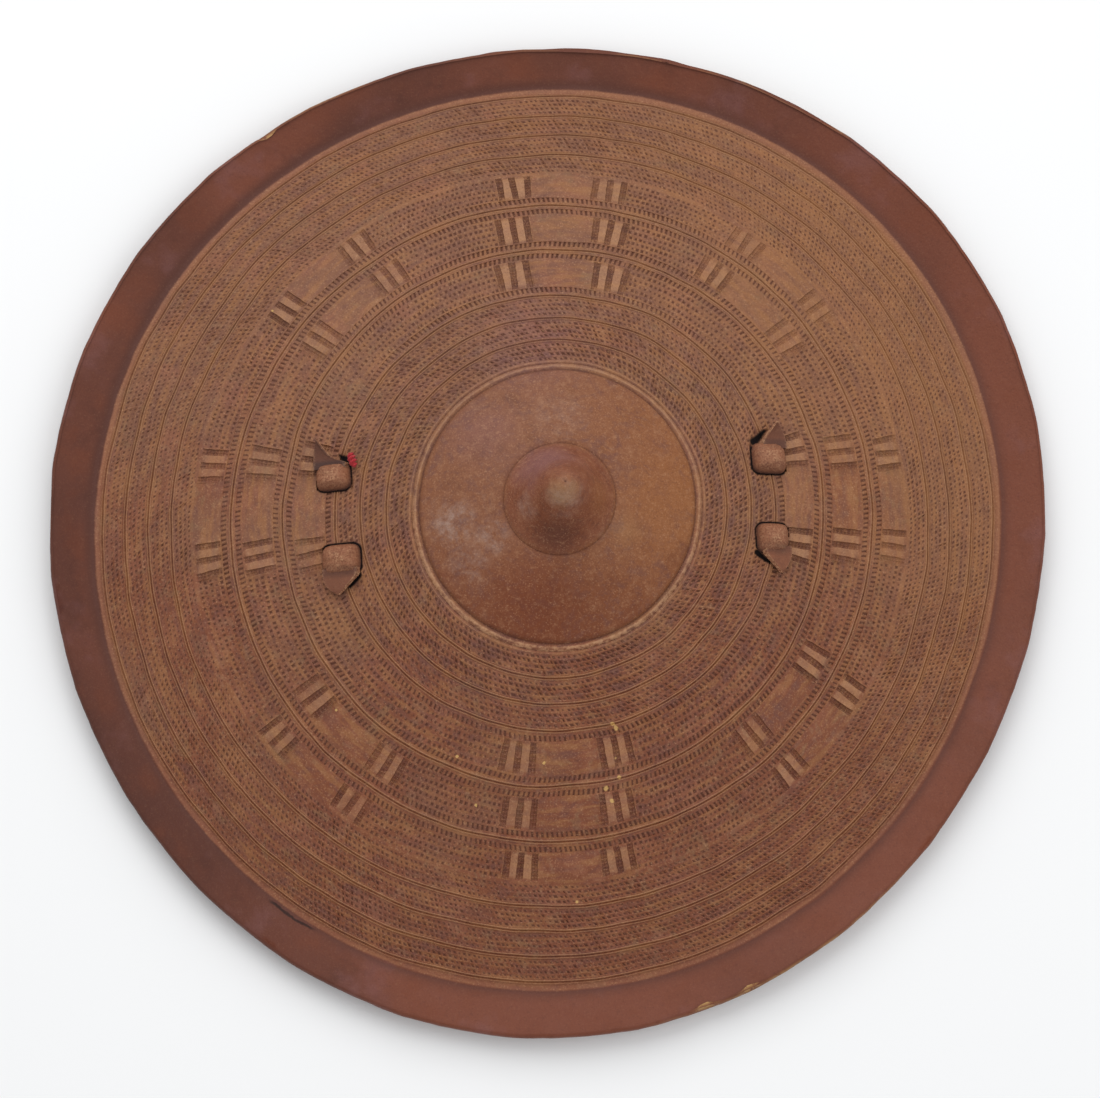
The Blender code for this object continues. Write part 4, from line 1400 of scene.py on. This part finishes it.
# The four knots. A place is a side and a flank, and a shift is along and across. A tip's edges and point
# are measured away from the boss, and a hollow's two ends towards it and outwards, with their radii.
# A tip's dull share is painted shade on its face
KNOTS = (
    Knot((-1, 1), (-0.0005, -0.0003), 0.0124, 0.0104, (-0.0047, 0.0062), (0.36, 1.7),
         0.0044, 0.0080, 0.0046, 0.66, ((0.0046, 0.0060), (0.0024, 0.0080), 0.0020, 0.0008)),
    Knot((-1, -1), (0.0011, -0.0015), 0.0138, 0.0114, (-0.0057, 0.0062), (1.0, 2.2),
         0.0010, 0.0072, 0.0014, 0.34, ((0.0056, 0.0058), (0.0026, 0.0096), 0.0015, 0.0008)),
    Knot((1, 1), (-0.0008, 0.0012), 0.0129, 0.0118, (-0.0024, 0.0060), (1.0, 1.7),
         0.0022, 0.0066, 0.0048, 0.42, ((0.0050, 0.0060), (0.0009, 0.0102), 0.0019, 0.0011)),
    Knot((1, -1), (-0.0012, 0.0010), 0.0119, 0.0110, (-0.0034, 0.0060), (1.0, 1.9),
         0.0020, 0.0074, 0.0016, 0.12, ((0.0058, 0.0051), (0.0014, 0.0086), 0.0013, 0.0007)),
)


def loft(skin, layers):
    """Faces between layers of points that run round a form, with flat ends."""
    for low, high in zip(layers, layers[1:]):
        for i in range(len(low)):
            j = (i + 1) % len(low)
            skin.face(low[i], low[j], high[j], high[i])
    skin.face(*reversed(layers[0]))
    skin.face(*layers[-1])


# Rounding of a cross strap's outer corners, and the height of its arms' tops over the hide's front
STRAP_ROUND = 0.0012
ARM_TOP = -0.0008


def strap_end(skin, knots, side):
    """Cross strap under the hide with its two arms, which rise through the slots under the knots."""
    h = knots.h
    under = -knots.form.s.thickness - h.strap_gap
    low = under - h.strap
    halves = []
    for knot in KNOTS:
        if knot.place[0] == side:
            inner = riser_start(h)
            outer = inner + h.strap
            half = [(0.0, low), (outer * 0.5, low), (outer - STRAP_ROUND, low), (outer, low + STRAP_ROUND),
                    (outer, under), (outer, ARM_TOP), (inner, ARM_TOP), (inner, under), (inner * 0.5, under),
                    (0.0, under)]
            halves.append([(knot, across, above) for across, above in half])
    outline = halves[0] + halves[1][-2:0:-1]
    layers = []
    steps = 14
    for k in range(steps + 1):
        share = k / steps
        layer = []
        for knot, across, above in outline:
            along, moved_across = knots.moved(knot, across, side * h.tab_width * 0.94 * (share - 0.5))
            rough = 0.00020 * noise.noise(Vector((along / 0.004, across / 0.004, above / 0.004)))
            place = knots.on_hide(along, moved_across, above + rough)
            layer.append(skin.point(place, 0.25, 0.3 if k in (0, steps) else 0.0))
        layers.append(layer)
    loft(skin, layers)


def riser_start(h):
    """Distance from the handle's line to the near side of an arm."""
    return h.spread - h.knot_length / 2 + 0.0016


def pillow(skin, knots, knot):
    """Rolled knot: a domed pillow that turns down into its slot all round."""
    h = knots.h
    side, flank = knot.place
    middle_along, middle_across = knots.middle(knot)
    columns = 52
    crown = h.knot_height * 0.80
    sunk = 0.0016
    square = 4.2
    layers = []
    for share in (0.14, 0.28, 0.42, 0.56, 0.7, 0.8, 0.87, 0.93, 0.97, 1.0):
        layer = []
        for turn in turns(columns):
            c = math.cos(turn)
            s = math.sin(turn)
            round_off = (abs(c) ** square + abs(s) ** square) ** (-1 / square)
            u = share * c * round_off
            v = share * s * round_off
            along = middle_along + u * knot.width / 2
            across = middle_across + v * knot.length / 2
            outward = v * flank
            dome = (1 - share ** 2.8) ** 0.62 if share < 1 else 0.0
            fold = 0.00045 * math.exp(-((outward - 0.52 - 0.06 * math.sin(3 * u)) / 0.09) ** 2)
            crease = 0.00050 * noise.noise(Vector((along / 0.0035, across / 0.0016, 2.0 + side)))
            rough = 0.00032 * noise.noise(Vector((along / 0.0009, across / 0.0009, 5.0)))
            lean = 1 - 0.14 * outward
            relief = (crease + rough - fold) * smooth_step(1.0, 0.75, share)
            above = -sunk + (crown + sunk) * dome * lean + relief
            far_side = smooth_step(0.45, 0.90, u * side)
            # Painted shade: dark at the foot where the knot turns down into its slot except on its far side,
            # in the fold, and towards the lower side, which turns away from the lamp
            shade = 0.95 * (1 - smooth_step(0.05, 0.60, dome)) * (1 - 0.85 * far_side)
            shade += 0.25 * (fold > 0.0003) + 0.26 * smooth_step(0.15, 0.85, -v)
            # Pale crown: rubbed wear, and towards the middle a painted highlight on the top of the dome
            rubbed = smooth_step(-0.5, 0.3, noise.noise(Vector((along / 0.003, across / 0.003, 8.0))))
            pale = 0.32 * smooth_step(1.0, 0.8, share) + 0.50 * smooth_step(0.75, 0.1, share) * rubbed
            layer.append(skin.point(knots.on_hide(along, across, above), min(1, shade), pale))
        layers.append(layer)
    top = skin.point(knots.on_hide(middle_along, middle_across, crown), 0.0, 0.6)
    for i in range(columns):
        skin.face(top, layers[0][i], layers[0][(i + 1) % columns])
    for low, high in zip(layers, layers[1:]):
        for i in range(columns):
            j = (i + 1) % columns
            skin.face(low[i], high[i], high[j], low[j])
    skin.face(*reversed(layers[-1]))


def curled_tip(skin, knots, knot):
    """Pointed end of the strap that comes out from under a knot and curls up."""
    side, flank = knot.place
    middle_along, middle_across = knots.middle(knot)
    tuck = 0.0026
    base = knot.length / 2 - tuck
    inner_edge, far_edge = knot.edges
    columns = 12
    rows = 10
    upper = []
    lower = []
    for k in range(columns + 1):
        share = k / columns
        start = inner_edge + (far_edge - inner_edge) * share
        bend = knot.bends[0] + (knot.bends[1] - knot.bends[0]) * share
        top_side = []
        low_side = []
        for step in range(rows + 1):
            out = step / rows
            beyond = max(0.0, (out * (knot.reach + tuck) - tuck) / knot.reach)
            outward = start + (knot.point - start) * beyond ** bend * 0.97
            sway = 0.0005 * math.sin(2.5 * out + 2 * share)
            across = base + out * (knot.reach + tuck) * (1 - 0.10 * abs(share - 0.5))
            lift = 0.0006 + knot.curl * beyond ** 1.6 * (1.0 - 0.25 * share) + sway * beyond
            lift += 0.0012 * (1 - share) * beyond * (1 - beyond)
            thick = 0.0017 - 0.0008 * beyond
            place_along = middle_along + side * outward
            place_across = middle_across + flank * across
            rough = 0.00018 * noise.noise(Vector((place_along / 0.0013, place_across / 0.0013, 9.0)))
            # Painted shade on the tip next to the knot, where the knot's shadow falls
            shade = 0.34 * (1 - smooth_step(0.0, 0.10, beyond))
            edge = 0.9 if k == 0 else (0.4 if k == columns or step == rows else 0.0)
            # The dull share darkens the tip's whole face: painted shade on a face that curls up away from the
            # lamp
            tone = min(1, knot.dull + shade)
            top = knots.on_hide(place_along, place_across, lift + thick + rough)
            top_side.append(skin.point(top, tone, edge))
            # The tip's underside is dark: painted shade under the curl; its cut edge stays pale
            cut_edge = knots.on_hide(place_along - side * (0.0007 if k == 0 else 0.0), place_across, lift)
            low_side.append(skin.point(cut_edge, *((0.1, 0.9) if k == 0 else (0.8, 0.0))))
        upper.append(top_side)
        lower.append(low_side)
    rim = []
    for grid in (upper, lower):
        outwards = grid[0] + [grid[k][rows] for k in range(1, columns)]
        back = grid[columns][::-1] + [grid[k][0] for k in range(columns - 1, 0, -1)]
        rim.append(outwards + back)
    turned = side * flank > 0
    for k in range(columns):
        for s in range(rows):
            skin.turn_face(turned, upper[k][s], upper[k + 1][s], upper[k + 1][s + 1], upper[k][s + 1])
            skin.turn_face(turned, lower[k][s], lower[k][s + 1], lower[k + 1][s + 1], lower[k + 1][s])
    count_round = len(rim[0])
    for i in range(count_round):
        j = (i + 1) % count_round
        skin.turn_face(turned, rim[0][i], rim[0][j], rim[1][j], rim[1][i])


def grip(skin, knots):
    """Rolled grip across the back, flattened where it meets the cross straps."""
    h = knots.h
    form = knots.form
    end = h.reach - h.tab_width / 4
    under = form.s.thickness + h.strap_gap + h.strap / 2
    stations = 60
    sides = 40
    layers = []
    for k in range(stations + 1):
        along = end * (2 * k / stations - 1)
        anchor = knots.on_hide(math.copysign(end, along), 0, -under)
        ease = smooth_step(h.grip_length / 2, end, abs(along))
        middle = Vector((*knots.plan(along, 0), h.grip_height + (anchor.z - h.grip_height) * ease))
        width = (h.grip_width + (h.grip_end - h.grip_width) * ease) / 2
        depth = (h.grip_depth + (h.strap * 0.8 - h.grip_depth) * ease) / 2
        aside = Vector((-math.sin(h.turn), math.cos(h.turn), 0))
        layer = []
        for turn in turns(sides):
            lap = (turn + 0.6 * math.pi) % TURN
            ridge = 0.0006 * math.exp(-(lap / 0.16) ** 2) - 0.0007 * math.exp(-((lap - 0.3) / 0.12) ** 2)
            crease = 0.0003 * noise.noise(Vector((along / 0.006, turn * 1.5, 4.0)))
            swell = 1 + (ridge + crease) / h.grip_depth * 2 * (1 - ease)
            rise = Vector((0, 0, depth * math.sin(turn) * swell))
            place = middle + aside * (width * math.cos(turn) * swell) + rise
            # Painted shade in the crease where the rolled grip laps over, and a slight darkening all round
            stain = 0.7 * math.exp(-((lap - 0.25) / 0.15) ** 2)
            layer.append(skin.point(place, min(1, stain + 0.15), 0.0))
        layers.append(layer)
    loft(skin, layers)


def handle_mesh():
    """Grip, cross straps, knots and tips."""
    knots = made_knots()
    skin = Skin()
    grip(skin, knots)
    for side in (-1, 1):
        strap_end(skin, knots, side)
    for knot in KNOTS:
        pillow(skin, knots, knot)
        curled_tip(skin, knots, knot)
    return skin.mesh("knotted_handle")


def yarn_mesh():
    """Two plies twisted round each other, with a loose end."""
    knots = made_knots()
    h = knots.h
    skin = Skin()
    radius = h.yarn / 2
    ply = radius * 0.60
    stations = 48
    for strand in (0, 1):
        layers = []
        for k in range(stations + 1):
            share = k / stations
            twist = TURN * (1.8 * share + strand / 2)
            swell = math.sin(math.pi * min(1, max(0, 0.08 + 0.86 * share))) ** 0.4
            lean = h.yarn_start_along + (h.yarn_end_along - h.yarn_start_along) * share ** 0.8
            along = lean + (radius - ply) * math.cos(twist) * swell
            arch = radius * (1 + 0.5 * math.sin(math.pi * share))
            above = h.lift + arch + (radius - ply) * math.sin(twist) * swell
            across = h.yarn_start + (h.yarn_end - h.yarn_start) * share
            layer = []
            for turn in turns(14):
                fuzz = 1 + 0.10 * math.sin(5 * turn + 9 * share * TURN)
                size = ply * swell * fuzz
                place = knots.on_hide(along + size * math.cos(turn), across, above + size * math.sin(turn))
                # Painted shade in the grooves between the twisted strands
                shade = 0.5 * (1 - abs(math.cos(2.5 * turn + 4.5 * share * TURN)))
                layer.append(skin.point(place, shade))
            layers.append(layer)
        loft(skin, layers)
    return skin.mesh("red_yarn")


def cut_slots(piece):
    """Cut the four slots that the strap's arms pass through."""
    knots = made_knots()
    h = knots.h
    thickness = knots.form.s.thickness
    skin = Skin()
    riser = riser_start(h) + h.strap / 2
    half_length = h.tab_width * 0.47 + h.clearance
    half_width = h.strap / 2 + h.clearance
    for knot in KNOTS:
        layers = []
        for above in (-2 * thickness, thickness):
            layer = []
            for a, b in ((-1, -1), (1, -1), (1, 1), (-1, 1)):
                place = knots.moved(knot, riser + b * half_width, a * half_length)
                layer.append(skin.point(knots.on_hide(*place, above)))
            layers.append(layer if knot.place[0] * knot.place[1] > 0 else layer[::-1])
        loft(skin, layers)
    cutter = bpy.data.objects.new("slots", skin.mesh("slots"))
    bpy.context.scene.collection.objects.link(cutter)
    cut = piece.modifiers.new("slots", "BOOLEAN")
    cut.operation = "DIFFERENCE"
    cut.solver = "EXACT"
    cut.object = cutter
    bpy.context.view_layer.update()
    graph = bpy.context.evaluated_depsgraph_get()
    mesh = bpy.data.meshes.new_from_object(piece.evaluated_get(graph))
    piece.modifiers.clear()
    piece.data = mesh
    bpy.data.objects.remove(cutter)


# Edges that turn more than this stay sharp
HIDE_SHARP = math.radians(58)
STRAP_SHARP = math.radians(40)


class SHIELD_OT_tooled_hide(bpy.types.Operator):
    """Make the tooled hide"""

    bl_idname = "shield.tooled_hide"
    bl_label = "Tooled hide"

    def execute(self, context):
        form_sizes, tooling, _ = settings()
        mesh = HideMaker(form_sizes, tooling).build()
        piece = add_piece("tooled_hide", mesh, hide_material(), "tooled_hide", "shield_hide")
        cut_slots(piece)
        piece.data.shade_smooth()
        piece.data.set_sharp_from_angle(angle=HIDE_SHARP)
        return {"FINISHED"}


class SHIELD_OT_knotted_handle(bpy.types.Operator):
    """Make the carrying handle with its knots"""

    bl_idname = "shield.knotted_handle"
    bl_label = "Knotted handle"

    def execute(self, context):
        mesh = handle_mesh()
        piece = add_piece("knotted_handle", mesh, strap_material(), "strap_leather", "carrying_handle")
        piece.data.shade_smooth()
        piece.data.set_sharp_from_angle(angle=STRAP_SHARP)
        return {"FINISHED"}


class SHIELD_OT_red_yarn(bpy.types.Operator):
    """Make the end of red yarn"""

    bl_idname = "shield.red_yarn"
    bl_label = "Red yarn"

    def execute(self, context):
        piece = add_piece("red_yarn", yarn_mesh(), yarn_material(), "red_yarn", "red_thread")
        piece.data.shade_smooth()
        return {"FINISHED"}


def floor_material(shade):
    """Matt pale floor."""
    return Nodes("floor").finish((*shade, 1), 0.9)


def add_lamp(name, place, target, size, power):
    """A square soft lamp that faces a target."""
    data = bpy.data.lights.new(name, "AREA")
    data.shape = "SQUARE"
    data.size = size
    data.energy = power
    lamp = bpy.data.objects.new(name, data)
    lamp.location = place
    lamp.rotation_euler = (Vector(target) - Vector(place)).to_track_quat("-Z", "Y").to_euler()
    bpy.context.scene.collection.objects.link(lamp)


# Floor, sky and lamps; a lamp is (name, place, size, share of the key's power)
FLOOR_HALF = 3.0
FLOOR_HEIGHT = -0.0002
SKY_COLOUR = (0.97, 0.985, 1.0, 1)
LAMPS = (("key", (-0.38, 1.05, 1.35), 1.6, 1.0), ("fill", (0.9, -0.2, 1.3), 1.2, 0.26))
SENSOR_WIDTH = 36


class SHIELD_OT_stage(bpy.types.Operator):
    """Make the floor, the lamps, the sky and the camera"""

    bl_idname = "shield.stage"
    bl_label = "Stage"

    def execute(self, context):
        scene = context.scene
        stage = plain(scene.shield_stage)
        skin = Skin()
        corners = ((-1, -1), (1, -1), (1, 1), (-1, 1))
        skin.face(*[skin.point(Vector((x * FLOOR_HALF, y * FLOOR_HALF, FLOOR_HEIGHT))) for x, y in corners])
        mesh = skin.mesh("floor")
        mesh.materials.append(floor_material(stage.floor))
        floor = bpy.data.objects.new("floor", mesh)
        scene.collection.objects.link(floor)
        world = bpy.data.worlds.new("sky")
        world.use_nodes = True
        background = world.node_tree.nodes["Background"]
        background.inputs["Color"].default_value = SKY_COLOUR
        background.inputs["Strength"].default_value = stage.sky
        scene.world = world
        for name, place, size, share in LAMPS:
            add_lamp(name, place, (0, 0, 0), size, stage.key * share)
        self.add_camera(scene, stage)
        scene.view_settings.view_transform = "Standard"
        return {"FINISHED"}

    def add_camera(self, scene, stage):
        """Camera that looks down, leaning a little from the near side."""
        data = bpy.data.cameras.new("camera")
        data.sensor_fit = "HORIZONTAL"
        data.sensor_width = SENSOR_WIDTH
        data.lens = SENSOR_WIDTH * stage.lens_share
        camera = bpy.data.objects.new("camera", data)
        lean = math.sin(stage.tilt)
        back = Vector((lean * math.sin(stage.swing), -lean * math.cos(stage.swing), math.cos(stage.tilt)))
        right = Vector((0, 1, 0)).cross(back).normalized()
        up = back.cross(right)
        aim = Vector((stage.aim_x, stage.aim_y, stage.aim_z))
        camera.matrix_world = frame_matrix(right, up, back, aim + stage.distance * back)
        scene.collection.objects.link(camera)
        scene.camera = camera


def frame_matrix(right, up, back, place):
    """Matrix of an object from its axes and place."""
    matrix = Vector((0, 0, 0)).to_track_quat("Z", "Y").to_matrix().to_4x4()
    for row in range(3):
        matrix[row][0] = right[row]
        matrix[row][1] = up[row]
        matrix[row][2] = back[row]
        matrix[row][3] = place[row]
    return matrix


OPERATORS = (SHIELD_OT_tooled_hide, SHIELD_OT_knotted_handle, SHIELD_OT_red_yarn, SHIELD_OT_stage)


class SHIELD_PT_parts(bpy.types.Panel):
    """Lists the sizes and the makers of the shield's parts"""

    bl_label = "Hide shield"
    bl_idname = "SHIELD_PT_parts"
    bl_space_type = "VIEW_3D"
    bl_region_type = "UI"
    bl_category = "Shield"

    def draw(self, context):
        layout = self.layout
        for operator in OPERATORS:
            layout.operator(operator.bl_idname)
        for key in GROUPS:
            group = getattr(context.scene, key)
            box = layout.box()
            for name in group.__annotations__:
                box.prop(group, name)


GROUPS = {
    "shield_form": ShieldForm,
    "shield_tooling": ShieldTooling,
    "shield_handle": HandleForm,
    "shield_finish": ShieldFinish,
    "shield_stage": StageForm,
}


def register():
    """Add the settings, the operators and the panel."""
    for key, group in GROUPS.items():
        bpy.utils.register_class(group)
        setattr(bpy.types.Scene, key, bpy.props.PointerProperty(type=group))
    for operator in OPERATORS:
        bpy.utils.register_class(operator)
    bpy.utils.register_class(SHIELD_PT_parts)


def unregister():
    """Take away what register() adds."""
    bpy.utils.unregister_class(SHIELD_PT_parts)
    for operator in reversed(OPERATORS):
        bpy.utils.unregister_class(operator)
    for key, group in GROUPS.items():
        delattr(bpy.types.Scene, key)
        bpy.utils.unregister_class(group)


def main():
    """Make every piece and the stage."""
    register()
    bpy.ops.shield.stage()
    bpy.ops.shield.tooled_hide()
    bpy.ops.shield.knotted_handle()
    bpy.ops.shield.red_yarn()


if __name__ == "__main__":
    main()
